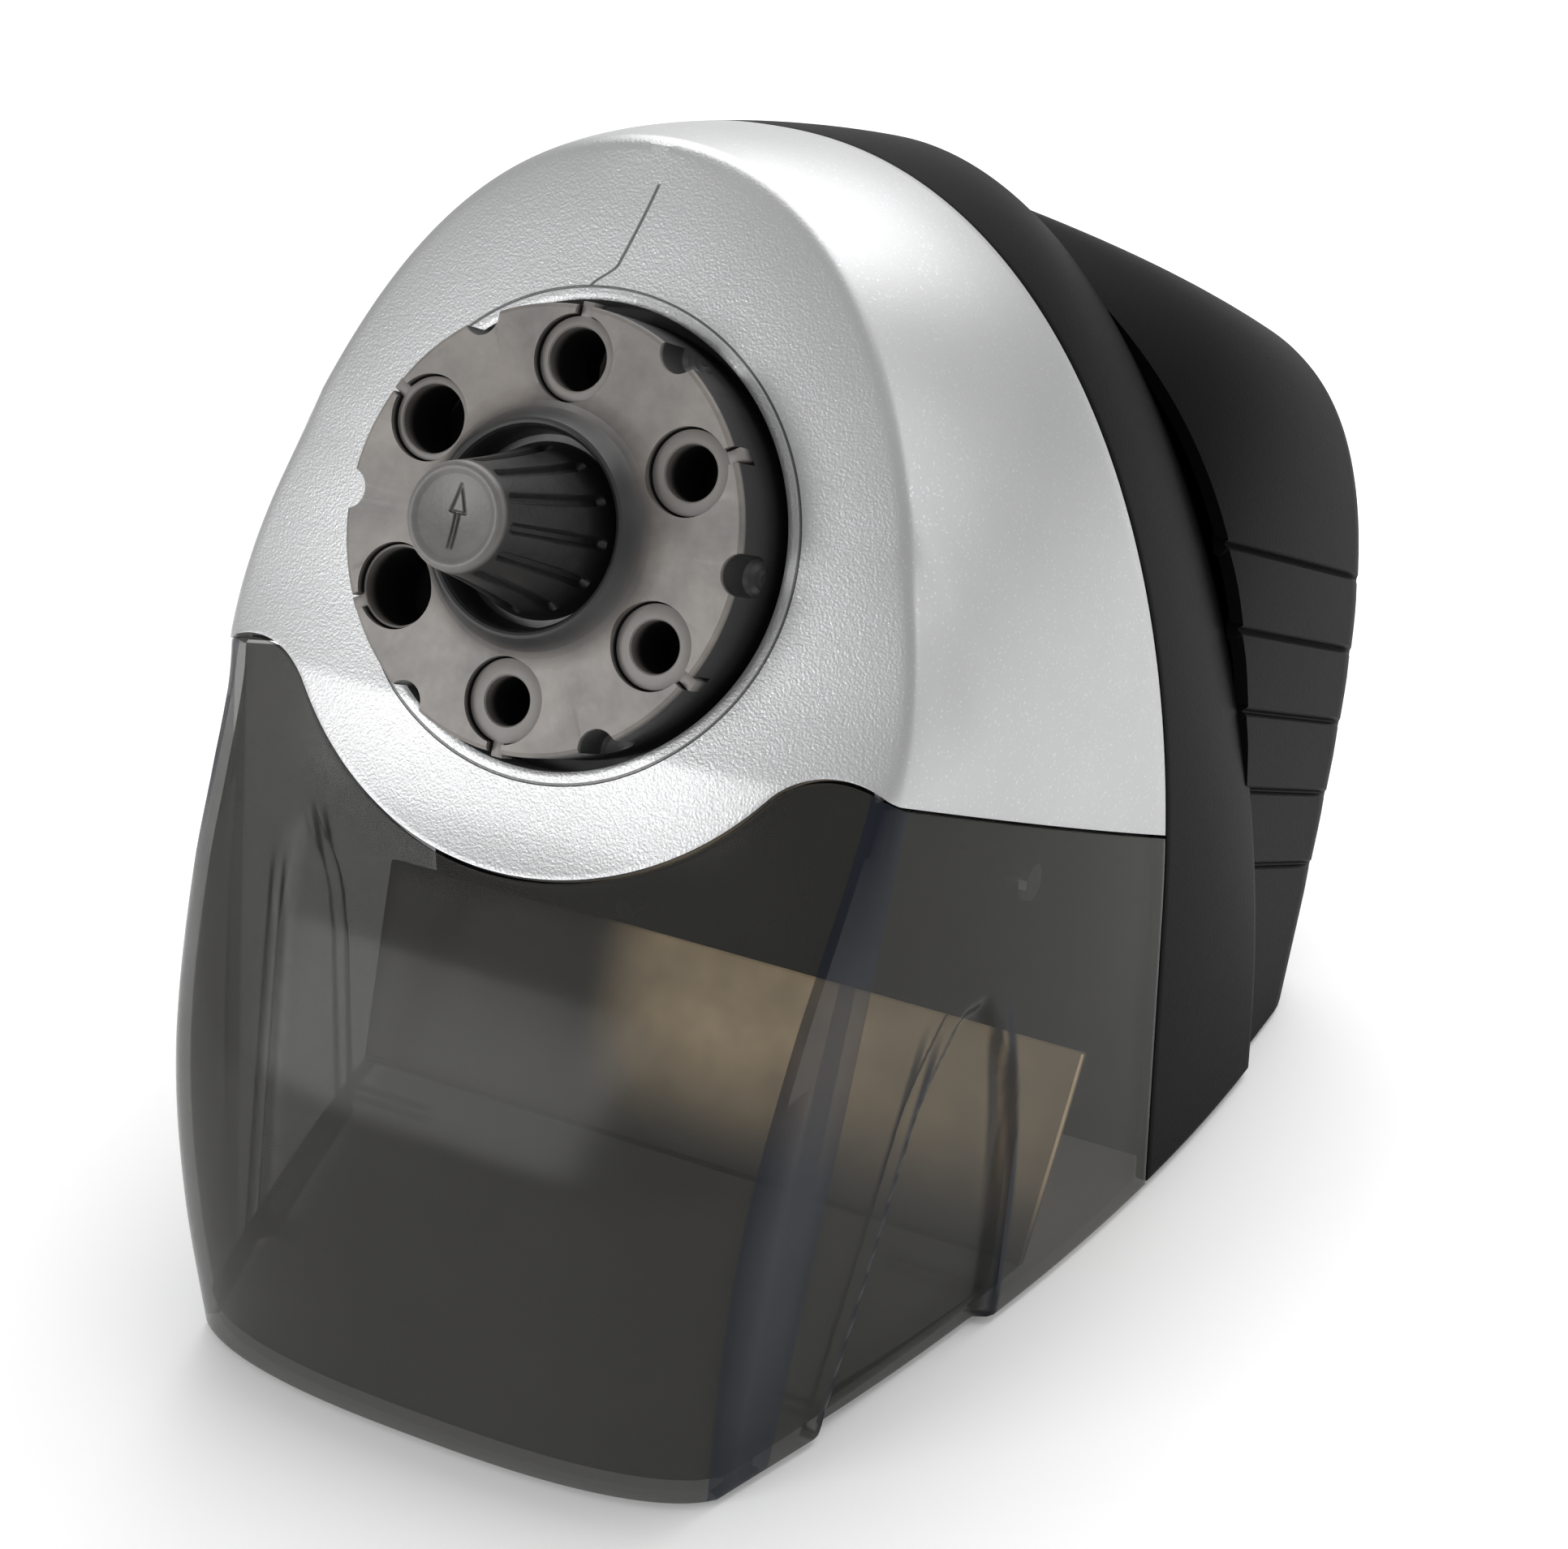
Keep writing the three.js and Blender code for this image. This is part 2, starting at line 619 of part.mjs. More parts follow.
function dialSolid() {
  const cup = turned([
    [hubBore, 5.8], [hubBore, seatDepth], [knobBase + 1, seatDepth], [15.1, -3.6], [15.9, -4.3],
    [16.8, -3.6], [18.4, -1.2], [20.6, 0], [dialRadius - 0.8, 0], [dialRadius, 0.8],
    [dialRadius, dialSkirt], [dialRadius - 2.4, dialSkirt], [dialRadius - 2.4, 3.6], [10, 3.6],
    [10, 5.8], [hubBore, 5.8],
  ], 32);
  const sleeves = [0, 1, 2, 3, 4, 5].map((i) => toSolid(barrel(
    bushRadius + 1.5, 1.5, dialSkirt - 3.5,
    holeCircle * Math.cos(holeAngle(i)), holeCircle * Math.sin(holeAngle(i)), 12,
  )));
  const inside = toSolid(barrel(dialRadius - 0.5, -10, 40, 0, 0, 32));
  const body = join(toSolid(cup), ...sleeves.map((one) => one.intersect(inside)));
  const cuts = [0, 1, 2, 3, 4, 5].flatMap((i) => {
    const [c, z] = [Math.cos(holeAngle(i)), Math.sin(holeAngle(i))];
    const notch = holeAngle(i + 0.5);
    const slot = block([holeCircle, -5, -tabWidth / 2 - 0.25], [dialRadius + 2, recessDepth + 4, tabWidth / 2 + 0.25]);
    return [
      toSolid(barrel(bushRadius + seat, -5, 40, holeCircle * c, holeCircle * z, 16)),
      toSolid(slot.rotateY(-holeAngle(i))),
      toSolid(barrel(3.2, -5, 40, (dialRadius + 0.3) * Math.cos(notch), (dialRadius + 0.3) * Math.sin(notch), 8)),
    ];
  });
  return cut(body, ...cuts);
}

piece('dial_disc', dialSolid(), dialGrey, head);

bushBores.forEach((bore, i) => {
  const bush = turned([
    [bore, recessDepth], [bushRadius, recessDepth], [bushRadius, dialSkirt - 3.5], [bore, dialSkirt - 3.5],
    [bore, recessDepth],
  ], 16).translate(holeCircle, 0, 0);
  const tab = block(
    [holeCircle + bushRadius - 0.3, recessDepth, -tabWidth / 2],
    [holeCircle + bushRadius + tabReach - seat, recessDepth + 3.4, tabWidth / 2],
  );
  const solid = join(toSolid(bush), toSolid(tab));
  piece(`guide_bush_${i + 1}`, solid.rotate([0, -THREE.MathUtils.radToDeg(holeAngle(i)), 0]), dialGrey, head);
});

function knobSolid() {
  const body = turned([
    [0, -knobLength + 1.2], [knobNose - 2, -knobLength + 0.6], [knobNose - 1, -knobLength],
    [knobNose, -knobLength + 1], [knobBase - 2.6, -3], [knobBase, seatDepth - seat],
    [10.2, seatDepth - seat], [8.6, -6], [studRadius + seat, -6.2],
    [studRadius + seat, -knobLength + 9], [0, -knobLength + 9],
  ], 24);
  const flutes = [];
  for (let i = 0; i < 12; i += 1) {
    const angle = radians(30 * i);
    const flute = new THREE.CylinderGeometry(0.9, 0.9, knobLength - 6, 6)
      .rotateZ(-Math.atan((knobBase - knobNose) / knobLength))
      .translate((knobBase + knobNose) / 2 + 0.4, -knobLength / 2, 0)
      .rotateY(angle);
    flutes.push(toSolid(flute));
  }
  return cut(toSolid(body), ...flutes);
}

piece('selector_knob', knobSolid(), black, head);

piece('dial_stud', turned([
  [0, -8], [studRadius, -8], [studRadius, -2.2], [studRadius - 1, -2.2], [studRadius - 1, -1.2],
  [studRadius, -1.2], [studRadius, 5.8], [studRadius - 1, 5.8], [studRadius - 1, mountPlane + plateThick],
  [0, mountPlane + plateThick],
], 24), steel, head);

piece('dial_clip', ring(studRadius - 1 + seat, studRadius + 2.6, -2.1, -1.3, 16), steel, head);

// A leaf spring on the mount presses a bump into the skirt's notches.
const detentAngle = holeAngle(1.5);
function detentSolid() {
  const reach = dialRadius + 0.3;
  const strip = block([reach, mountPlane - 0.9, -9], [reach + 6, mountPlane - 0.3, 9]);
  const finger = block([reach, dialSkirt - 2.6, -3], [reach + 0.6, mountPlane - 0.3, 3]);
  const bump = barrel(1.6, dialSkirt - 2.6, dialSkirt - 0.4, reach - 0.2, 0, 14);
  const whole = join(toSolid(strip), toSolid(finger), toSolid(bump));
  return whole.rotate([0, -THREE.MathUtils.radToDeg(detentAngle), 0]);
}
piece('detent_spring', detentSolid(), steel, head);

// ---------------------------------------------------------------- cutting head layout

const slope = Math.tan(radians(cutterAngle));
const coneTip = cutterStart + cutterLength + 1;
const cutterReach = (s) => cutterRadius / Math.cos(radians(cutterAngle)) + 0.3 + (coneTip - s) * slope;
const planetRadius = (toothModule * planetTeeth) / 2;
const ringPitch = (toothModule * ringTeeth) / 2;
const planetPlace = coneTip - (ringPitch - planetRadius - cutterReach(coneTip)) / slope;
const planetWidth = 4;

const yokeThick = 3;
const carrierFront = planetPlace - planetWidth / 2 - 0.8 - yokeThick;
const guideEnd = carrierFront - 1;
const hubStart = coneTip + 1;
const hubEnd = bulkheadStart - 1;
const carrierRadius = ringPitch - 2.6;
const axleRadius = 1.5;
const cutterTilt = radians(cutterAngle);

// ---------------------------------------------------------------- pencil guide and start lever

const guideStart = mountPlane + plateThick + seat;
const leverPivot = { s: guideStart + 3.8, z: holeCircle + 13 };
const earGap = 2.4;
const guideBore = 6.9;
const guideOuter = 8.4;

function guideSolid() {
  const tube = ring(guideBore, guideOuter, guideStart, guideEnd, 20).translate(0, 0, holeCircle);
  const flange = ring(guideBore, 12, guideStart, guideStart + 2, 20).translate(0, 0, holeCircle);
  const ears = [-1, 1].map((side) => block(
    [side > 0 ? earGap : -earGap - 2, leverPivot.s - 3.5, holeCircle + 7.6],
    [side > 0 ? earGap + 2 : -earGap, leverPivot.s + 3.5, leverPivot.z + 3.5],
  ));
  const slot = block([-earGap, leverPivot.s - 5, holeCircle + 2], [earGap, guideEnd - 2, holeCircle + 14]);
  const pin = barrelX(1.5 + seat, 40, leverPivot.s, leverPivot.z, 16);
  const body = join(toSolid(tube), toSolid(flange), ...ears.map(toSolid));
  return cut(body, toSolid(slot), toSolid(pin));
}

// A cylinder across the head frame, centred on x = 0.
function barrelX(radius, length, s, z, sides = 20) {
  return new THREE.CylinderGeometry(radius, radius, length, sides).rotateZ(Math.PI / 2).translate(0, s, z);
}

piece('pencil_guide', guideSolid(), nylon, head);
piece('lever_pin', barrelX(1.5, 2 * earGap + 5, leverPivot.s, leverPivot.z, 24), steel, head);

function leverSolid() {
  const { s, z } = leverPivot;
  const arm = crosswise(polygon([
    [s - 1, z - 2.6], [s + 7.5, z - 10.5], [s + 9.2, z - 10.5], [s + 9.2, z - 9], [s + 8.4, z - 3],
    [s + 8, z + 1], [s + 4, z + 2.6], [s, z + 2.6],
  ]), 2 * earGap - 0.8);
  const boss = barrelX(3, 2 * earGap - 0.8, s, z, 24);
  return cut(join(toSolid(arm), toSolid(boss)), toSolid(barrelX(runningBore(1.5, 24), 20, s, z, 24)));
}

piece('start_lever', leverSolid(), nylon, head);

function switchSolid() {
  const low = leverPivot.z + 5.2;
  const half = earGap + 2;
  const { s } = leverPivot;
  const box = block([-half, s + 0.5, low], [half, s + 12, low + 9.5]);
  const button = block([-1, s + 6, low - 0.9], [1, s + 8, low + 1]);
  const legs = [-1, 1].map((side) => block(
    [Math.min(side * half, side * (earGap + 0.2)), s + 8, holeCircle + guideOuter + seat],
    [Math.max(side * half, side * (earGap + 0.2)), s + 12, low + 1],
  ));
  return join(toSolid(box), toSolid(button), ...legs.map(toSolid));
}

piece('start_switch', switchSolid(), black, head);

// ---------------------------------------------------------------- cutting head
// Its axis is the pencil axis through the top dial hole.

const axisHead = new THREE.Group();
axisHead.position.set(0, 0, holeCircle);
head.add(axisHead);

// A spur gear outline with straight-sided, thinned teeth; negative depth gives the ring's space.
function gearOutline(teeth, addendum, dedendum, thickness, taper, phase = 0) {
  const pitch = (toothModule * teeth) / 2;
  const step = (2 * Math.PI) / teeth;
  const outline = [];
  for (let i = 0; i < teeth; i += 1) {
    const middle = phase + i * step;
    const half = (share) => (step * thickness * share) / 2;
    [
      [pitch - dedendum, -half(1 + taper)], [pitch + addendum, -half(1 - taper)],
      [pitch + addendum, half(1 - taper)], [pitch - dedendum, half(1 + taper)],
    ].forEach(([radius, turn]) => {
      outline.push([radius * Math.cos(middle + turn), radius * Math.sin(middle + turn)]);
    });
  }
  return polygon(outline);
}

function gear(teeth, y0, y1, bore, phase = 0) {
  const outline = gearOutline(teeth, 0.9 * toothModule, 1.2 * toothModule, 0.42, 0.35, phase);
  return cut(toSolid(drawn(outline, y0, y1)), toSolid(barrel(bore, y0 - 5, y1 + 5, 0, 0, 24)));
}

const ringY0 = planetPlace - planetWidth / 2 - 0.8;
const ringY1 = planetPlace + planetWidth / 2 + 0.8;
const ringOuter = ringPitch + 5.5;

function ringSolid() {
  const blank = barrel(ringOuter, ringY0, ringY1, 0, 0, 36);
  const space = drawn(gearOutline(ringTeeth, 2, 0.7, 0.6, 0.25, -Math.PI / 2), ringY0 - 1, ringY1 + 1);
  return cut(toSolid(blank), toSolid(space));
}

piece('ring_gear', ringSolid(), steel, axisHead);

const housingOuter = ringOuter + seat + 2;
const housingEnd = bulkheadStart - seat;

function headHousing() {
  const tube = toSolid(ring(ringOuter + seat, housingOuter, ringY0 - 1.5, housingEnd, 28));
  const lip = toSolid(ring(ringPitch - 2, housingOuter, ringY0 - 2.5, ringY0 - seat, 28));
  const chute = toSolid(block([-17, ringY1 + 1, -60], [17, housingEnd - 3, 0]));
  return cut(join(tube, lip), chute);
}

piece('cutting_head_housing', headHousing(), black, axisHead);

// The cutter's own axis: it closes on the pencil axis toward the tip, below it.
const cutterFrame = (geometry) => geometry
  .rotateX(cutterTilt)
  .translate(0, planetPlace, -cutterReach(planetPlace));

function carrierSolid() {
  const yoke = ring(6.8, carrierRadius, carrierFront, carrierFront + yokeThick, 24);
  const hub = barrel(carrierRadius - 2, hubStart, hubEnd, 0, 0, 24);
  const shaft = barrel(headShaft, hubEnd - 1, bulkheadStart + bulkheadThick + 2 + gearWidth + 4, 0, 0, 24);
  const struts = [35, 145].map((degrees) => (
    block([9.2, carrierFront + 1, -4.5], [12.8, hubEnd - 0.5, 4.5]).rotateY(-radians(degrees))
  ));
  const body = join(toSolid(yoke), toSolid(hub), toSolid(shaft), ...struts.map(toSolid));
  const axleHole = cutterFrame(barrel(axleRadius + seat, -20, 80, 0, 0, 12));
  const swing = toSolid(cutterFrame(barrel(cutterRadius + 1, planetWidth / 2, hubStart - planetPlace + 0.6, 0, 0, 16)));
  const planetRoom = toSolid(cutterFrame(
    barrel(planetRadius + toothModule + 0.5, -planetWidth / 2 - 0.4, planetWidth / 2 + 0.4, 0, 0, 16),
  ));
  return cut(body, toSolid(axleHole), swing, planetRoom);
}

piece('cutter_carrier', carrierSolid(), darkSteel, axisHead);

function cutterSolid() {
  const start = cutterStart - planetPlace + 1;
  const end = start + cutterLength - 3;
  const flutes = 8;
  const steps = 5;
  const outline = [];
  for (let i = 0; i < flutes; i += 1) {
    const middle = (2 * Math.PI * i) / flutes;
    outline.push([cutterRadius * Math.cos(middle), cutterRadius * Math.sin(middle)]);
    outline.push([(cutterRadius - 0.3) * Math.cos(middle + 0.22), (cutterRadius - 0.3) * Math.sin(middle + 0.22)]);
    outline.push([(cutterRadius - 1.5) * Math.cos(middle + 0.3), (cutterRadius - 1.5) * Math.sin(middle + 0.3)]);
  }
  const helix = new THREE.ExtrudeGeometry(polygon(outline), { depth: 1, steps, bevelEnabled: false });
  const blades = shaped(helix, (p) => {
    const turn = -p.z * 1.3;
    const [c, z] = [Math.cos(turn), Math.sin(turn)];
    return [-(p.x * c - p.y * z), start + (end - start) * p.z, p.x * z + p.y * c];
  });
  const neck = barrel(3.4, -planetWidth / 2 + 0.1, start + 0.2, 0, 0, 12);
  const body = join(toSolid(blades), toSolid(neck));
  const pinion = gear(planetTeeth, -planetWidth / 2, planetWidth / 2, 2, -Math.PI / 2);
  const bore = toSolid(barrel(runningBore(axleRadius, 20), -20, 60, 0, 0, 20));
  const yokeBody = cut(join(body, pinion), bore);
  return toSolid(cutterFrame(toGeometry(yokeBody)));
}

piece('helical_cutter', cutterSolid(), steel, axisHead);

const axleStart = -planetWidth / 2 - 0.8 - yokeThick + 0.4;
const axleEnd = hubEnd - planetPlace;
piece('cutter_axle', cutterFrame(barrel(axleRadius, axleStart, axleEnd - 0.5, 0, 0, 20)), steel, axisHead);

piece('head_bearing', ring(
  runningBore(headShaft, 24), bearingOuter, bulkheadStart - 0.4, bulkheadStart + bulkheadThick + 0.6, 24,
), bronze, axisHead);

const driveStart = bulkheadStart + bulkheadThick + 3;
piece('drive_gear', gear(driveTeeth, driveStart, driveStart + gearWidth, headShaft + seat, Math.PI / 2), nylon, axisHead);

// ---------------------------------------------------------------- motor

const axisMotor = new THREE.Group();
axisMotor.position.set(0, 0, motorDrop);
head.add(axisMotor);

const rotorShaftEnd = coreStart + coreLength + 36;
piece('motor_shaft', barrel(motorShaft, driveStart - 1, rotorShaftEnd, 0, 0, 24), steel, axisMotor);
piece('motor_pinion', gear(
  pinionTeeth, driveStart, driveStart + gearWidth, motorShaft + seat, Math.PI / 2 + Math.PI / pinionTeeth,
), steel, axisMotor);
piece('rotor', cut(
  toSolid(barrel(rotorRadius, coreStart + 1, coreStart + coreLength - 1, 0, 0, 28)),
  toSolid(barrel(motorShaft + seat, 0, 300, 0, 0, 16)),
), darkSteel, axisMotor);

const coreHalf = 33;
const coreBottom = -27;
const coreTop = 58;
const legBottom = 42;
function coreSolid() {
  const yoke = block([-coreHalf, coreStart, coreBottom], [coreHalf, coreStart + coreLength, coreTop]);
  const window = block([-coreHalf + 13, 0, 27], [coreHalf - 13, 300, legBottom]);
  return cut(
    toSolid(yoke), toSolid(window), toSolid(barrel(rotorRadius + 0.6, 0, 300, 0, 0, 28)),
  );
}
piece('stator_core', coreSolid(), darkSteel, axisMotor);

function coilSolid() {
  const [s0, s1] = [coreStart - 9, coreStart + coreLength + 9];
  const outer = block([-coreHalf + 14, s0, 28], [coreHalf - 14, s1, coreTop + 8]);
  const inner = block([-60, coreStart - seat, legBottom - seat], [60, coreStart + coreLength + seat, coreTop + seat]);
  return cut(toSolid(outer), toSolid(inner));
}
piece('field_coil', coilSolid(), copper, axisMotor);

function bracketSolid(s0, s1) {
  const strip = block([-coreHalf + 2, s0, -7], [coreHalf - 2, s1, 7]);
  const legs = [-1, 1].map((side) => block(
    [side * (coreHalf - 5) - 3, Math.min(s0, s0 < coreStart ? s0 : coreStart + coreLength + seat), -7],
    [side * (coreHalf - 5) + 3, Math.max(s1, s0 < coreStart ? coreStart - seat : s1), 7],
  ));
  const cup = barrel(8, s0, s1, 0, 0, 16);
  const hole = barrel(5 + seat, 0, 300, 0, 0, 16);
  return cut(join(toSolid(strip), ...legs.map(toSolid), toSolid(cup)), toSolid(hole));
}
const frontBracket = coreStart - 8;
const rearBracket = coreStart + coreLength + 12;
piece('motor_bracket_front', bracketSolid(frontBracket, frontBracket + 2.5), steel, axisMotor);
piece('motor_bracket_rear', bracketSolid(rearBracket, rearBracket + 2.5), steel, axisMotor);
[['front', frontBracket], ['rear', rearBracket]].forEach(([place, s0]) => {
  piece(`motor_bearing_${place}`, ring(
    runningBore(motorShaft, 24), 5, s0 - 1, s0 + 3.5, 24,
  ), bronze, axisMotor);
});

function fanSolid() {
  const s0 = rearBracket + 8;
  const hub = barrel(8, s0, s0 + 7, 0, 0, 16);
  const blades = [];
  for (let i = 0; i < 6; i += 1) {
    blades.push(toSolid(
      block([6, -5, -0.8], [fanRadius, 5, 0.8]).rotateX(radians(40)).translate(0, s0 + 3.5, 0)
        .rotateY(radians(60 * i)),
    ));
  }
  return cut(join(toSolid(hub), ...blades), toSolid(barrel(motorShaft + seat, 0, 300, 0, 0, 16)));
}
piece('cooling_fan', fanSolid(), black, axisMotor);

// ---------------------------------------------------------------- bin interlock

piece('interlock_switch', toSolid(block(
  [interlockX - 8, dialY + partitionY + wall + seat + 6, interlockZ - 5],
  [interlockX + 8, dialY + partitionY + wall + seat + 16, interlockZ + 5],
)), black);
piece('interlock_plunger', toSolid(barrel(
  plungerRadius, dialY + tabFace + seat, dialY + partitionY + wall + 2.4, interlockX, interlockZ, 20,
)), nylon);

export default root;
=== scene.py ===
import json
from math import asin, atan2, cos, hypot, pi, radians, sin, tan

import bmesh
import bpy
from mathutils import Matrix, Vector


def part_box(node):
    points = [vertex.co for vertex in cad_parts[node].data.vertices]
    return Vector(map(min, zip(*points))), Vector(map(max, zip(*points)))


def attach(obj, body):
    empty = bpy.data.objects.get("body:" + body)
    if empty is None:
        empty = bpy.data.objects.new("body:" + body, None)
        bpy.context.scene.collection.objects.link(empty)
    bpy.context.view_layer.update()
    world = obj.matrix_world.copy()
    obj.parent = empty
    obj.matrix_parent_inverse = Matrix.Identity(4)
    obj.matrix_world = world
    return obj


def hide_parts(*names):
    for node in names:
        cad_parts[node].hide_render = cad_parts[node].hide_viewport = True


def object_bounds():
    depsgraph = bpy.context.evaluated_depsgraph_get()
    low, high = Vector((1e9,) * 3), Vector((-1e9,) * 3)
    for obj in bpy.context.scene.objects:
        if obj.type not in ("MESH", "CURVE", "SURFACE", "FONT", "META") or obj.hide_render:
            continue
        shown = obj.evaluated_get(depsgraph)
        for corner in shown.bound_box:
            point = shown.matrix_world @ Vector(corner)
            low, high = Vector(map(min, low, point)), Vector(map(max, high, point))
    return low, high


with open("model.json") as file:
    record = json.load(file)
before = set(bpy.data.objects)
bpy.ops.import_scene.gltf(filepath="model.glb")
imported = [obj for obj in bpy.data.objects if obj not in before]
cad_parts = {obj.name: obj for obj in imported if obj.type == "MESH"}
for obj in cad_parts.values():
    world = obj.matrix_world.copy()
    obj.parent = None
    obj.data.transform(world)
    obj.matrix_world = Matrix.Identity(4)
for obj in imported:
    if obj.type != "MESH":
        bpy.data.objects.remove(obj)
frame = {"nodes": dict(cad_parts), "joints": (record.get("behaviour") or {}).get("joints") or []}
cad_low, cad_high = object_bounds()

# ------------------------------------------------------------ camera, table and lights
# The sharpener stands on a pale table under soft studio light, seen from its front right and
# from above. The camera is placed from the dial's centre, which is where it looks.
mm = 0.001
joints = {joint["name"]: joint for joint in frame["joints"]}
dial_centre = Vector(joints["dial_turn"]["pos_m"])
dial_axis = Vector(joints["dial_turn"]["axis"]).normalized()
scene = bpy.context.scene
scene.view_settings.view_transform = "Standard"

camera_turn, camera_drop = radians(28.313), radians(28.028)
camera_away = Vector((242.7, -373.25, 194.95))
camera_data = bpy.data.cameras.new("camera")
camera_data.lens = 74.53
camera_data.sensor_width = 36
camera = bpy.data.objects.new("camera", camera_data)
camera.location = dial_centre + camera_away * mm
camera.rotation_euler = (pi / 2 - camera_drop, 0, camera_turn)
scene.collection.objects.link(camera)
scene.camera = camera


def softbox(name, place, size, power):
    data = bpy.data.lights.new(name, "AREA")
    data.size = size
    data.energy = power
    lamp = bpy.data.objects.new(name, data)
    lamp.location = place
    lamp.rotation_euler = (dial_centre - Vector(place)).to_track_quat("-Z", "Y").to_euler()
    scene.collection.objects.link(lamp)


softbox("overhead_softbox", (-0.05, 0.55, 1.0), size=1.3, power=14.0)
softbox("low_front_softbox", (-0.62, -1.13, 0.37), size=0.5, power=6.4)
softbox("right_softbox", (0.95, 0.35, 0.5), size=0.55, power=1.3)

world = bpy.data.worlds.new("studio")
world.use_nodes = True
studio = world.node_tree.nodes["Background"].inputs
studio["Color"].default_value = (1, 1, 1, 1)
studio["Strength"].default_value = 0.48
scene.world = world


# ------------------------------------------------------------ body skin
# The body is a tall arch that narrows to the front, and its front is pillowed between two corner
# lines. Cover, bin and band are moulded to this one skin, and meet along lines drawn on it.
# Skin sizes are in millimetres: y behind the dial's centre, z above the table.
dial_height = dial_centre.z / mm
half_band = cad_high.x / mm
tilt = atan2(-dial_axis.z, dial_axis.y)
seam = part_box("front_cover")[1].y / mm - dial_centre.y / mm
seam_gap = 0.6
ground_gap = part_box("shavings_bin")[0].z / mm
head = Matrix.Identity(4)
head.col[1] = (*dial_axis, 0)
head.col[2] = (0, -dial_axis.z, dial_axis.y, 0)
head.translation = dial_centre


def body_point(x, y, z):
    return Vector((x * mm, dial_centre.y + y * mm, z * mm))


def head_point(x, back, up):
    return head @ Vector((x * mm, back * mm, up * mm))


def smooth(low, high, value):
    share = min(1, max(0, (value - low) / (high - low)))
    return share * share * (3 - 2 * share)


def half_width(y):
    return half_band - 0.001156 * max(0, 121.7 - y) ** 2


def crown(y):
    return dial_height + 54 - 0.069 * y - 0.00123 * y * y


def spring_line(y):
    return dial_height - max(32.1, 15.6 + 0.863 * y + 0.00111 * y * y)


def fullness(y):
    return max(1.5, 2.28 - 1.9e-4 * (y - 80) ** 2)


leg_scale = 60


def section(turn, y, inset=0):
    """A point of the body's section at y: up the leg below 0, then round the arch to the top."""
    half, spring, power = half_width(y) - inset, spring_line(y), 2 / fullness(y)
    if turn <= 0:
        return half, spring + turn * leg_scale
    rise = crown(y) - inset - spring
    return half * max(0, cos(turn)) ** power, spring + rise * sin(turn) ** power


def section_turn(y, z):
    """Where the section at y is z high."""
    spring = spring_line(y)
    if z <= spring:
        return (z - spring) / leg_scale
    return asin(min(1, ((z - spring) / (crown(y) - spring)) ** (fullness(y) / 2)))


def side_width(y, z):
    return section(section_turn(y, z), y)[0]


knee = 110


def corner(z):
    """How far behind the dial's centre the front's corner line is, at each height."""
    return 0.6 + (z - knee) * (0.269 if z < knee else tan(tilt))


bulges = ((-14, 10), (0, 16), (26, 23.5), (53, 25.5), (78, 19), (97, 9.5), (118, 5.4),
          (140, 4.9), (160, 4.4), (176, 3), (188, 1.2), (196, 0))


def bulge(z):
    """How far the front stands out between its corners, on a curve through the listed heights."""
    last = len(bulges) - 2
    i = next((k for k in range(last) if z < bulges[k + 1][0]), last)
    (x0, y0), (x1, y1) = bulges[i], bulges[i + 1]
    before, after = bulges[max(0, i - 1)], bulges[min(last + 1, i + 2)]
    start = (y1 - before[1]) / (x1 - before[0]) * (x1 - x0)
    stop = (after[1] - y0) / (after[0] - x0) * (x1 - x0)
    t = (z - x0) / (x1 - x0)
    return (y0 * (1 + 2 * t) * (1 - t) ** 2 + y1 * t * t * (3 - 2 * t)
            + start * t * (1 - t) ** 2 + stop * t * t * (t - 1))


def front(x, z):
    """The front skin's place behind the dial's centre."""
    edge = max(8, side_width(corner(z), z))
    across = min(1, abs(x) / edge)
    power = 2.5 + 1.3 * sin(pi * min(1, max(0, z / 130)))
    round_end = 1 / power + (0.9 - 1 / power) * smooth(92, 125, z)
    return corner(z) - bulge(z) * (1 - across ** power) ** round_end


def front_at(x, up):
    """The front skin at a place on the dial face: how far back along the dial's axis it is."""
    back = 10
    for _ in range(40):
        z = dial_height - back * sin(tilt) + up * cos(tilt)
        back += 0.5 * ((front(x, z) - up * sin(tilt)) / cos(tilt) - back)
    return back


# The parting line of cover and bin: a scallop round the dial between two ears.
scallop, ear_radius, ear_up = 52.5, 14, -40.5
ear_x = ((scallop + ear_radius) ** 2 - ear_up ** 2) ** 0.5
tangent_x = ear_x * scallop / (scallop + ear_radius)
ear_end = ear_x + 7.3


def parting(x):
    """The parting line's height up the dial face."""
    x = abs(x)
    if x < tangent_x:
        return -(scallop ** 2 - x * x) ** 0.5
    top = ear_up + (ear_radius ** 2 - min(ear_end - ear_x, x - ear_x) ** 2) ** 0.5
    return top - 0.075 * max(0, x - ear_end)


def parting_height(x, y, gap):
    """The parting line's height above the table at a place on the skin, moved up by a gap."""
    return dial_height - y * tan(tilt) + (parting(x) + gap) / cos(tilt)


def side_parting(y, gap):
    """Where the section at y crosses the parting line."""
    z = dial_height - 30
    for _ in range(12):
        z = parting_height(side_width(y, z), y, gap)
    return section_turn(y, z)


def corner_point(turn):
    """The corner line's point for a turn of the section."""
    y = 0
    for _ in range(40):
        x, z = section(turn, y)
        y += 0.5 * (corner(z) - y)
    return Vector((x, y, z))


def corner_parting(gap):
    """The turn of the section where the corner line crosses the parting line."""
    low, high = -1.5, pi / 2
    for _ in range(40):
        middle = (low + high) / 2
        x, y, z = corner_point(middle)
        low, high = (low, middle) if z > parting_height(x, y, gap) else (middle, high)
    return low


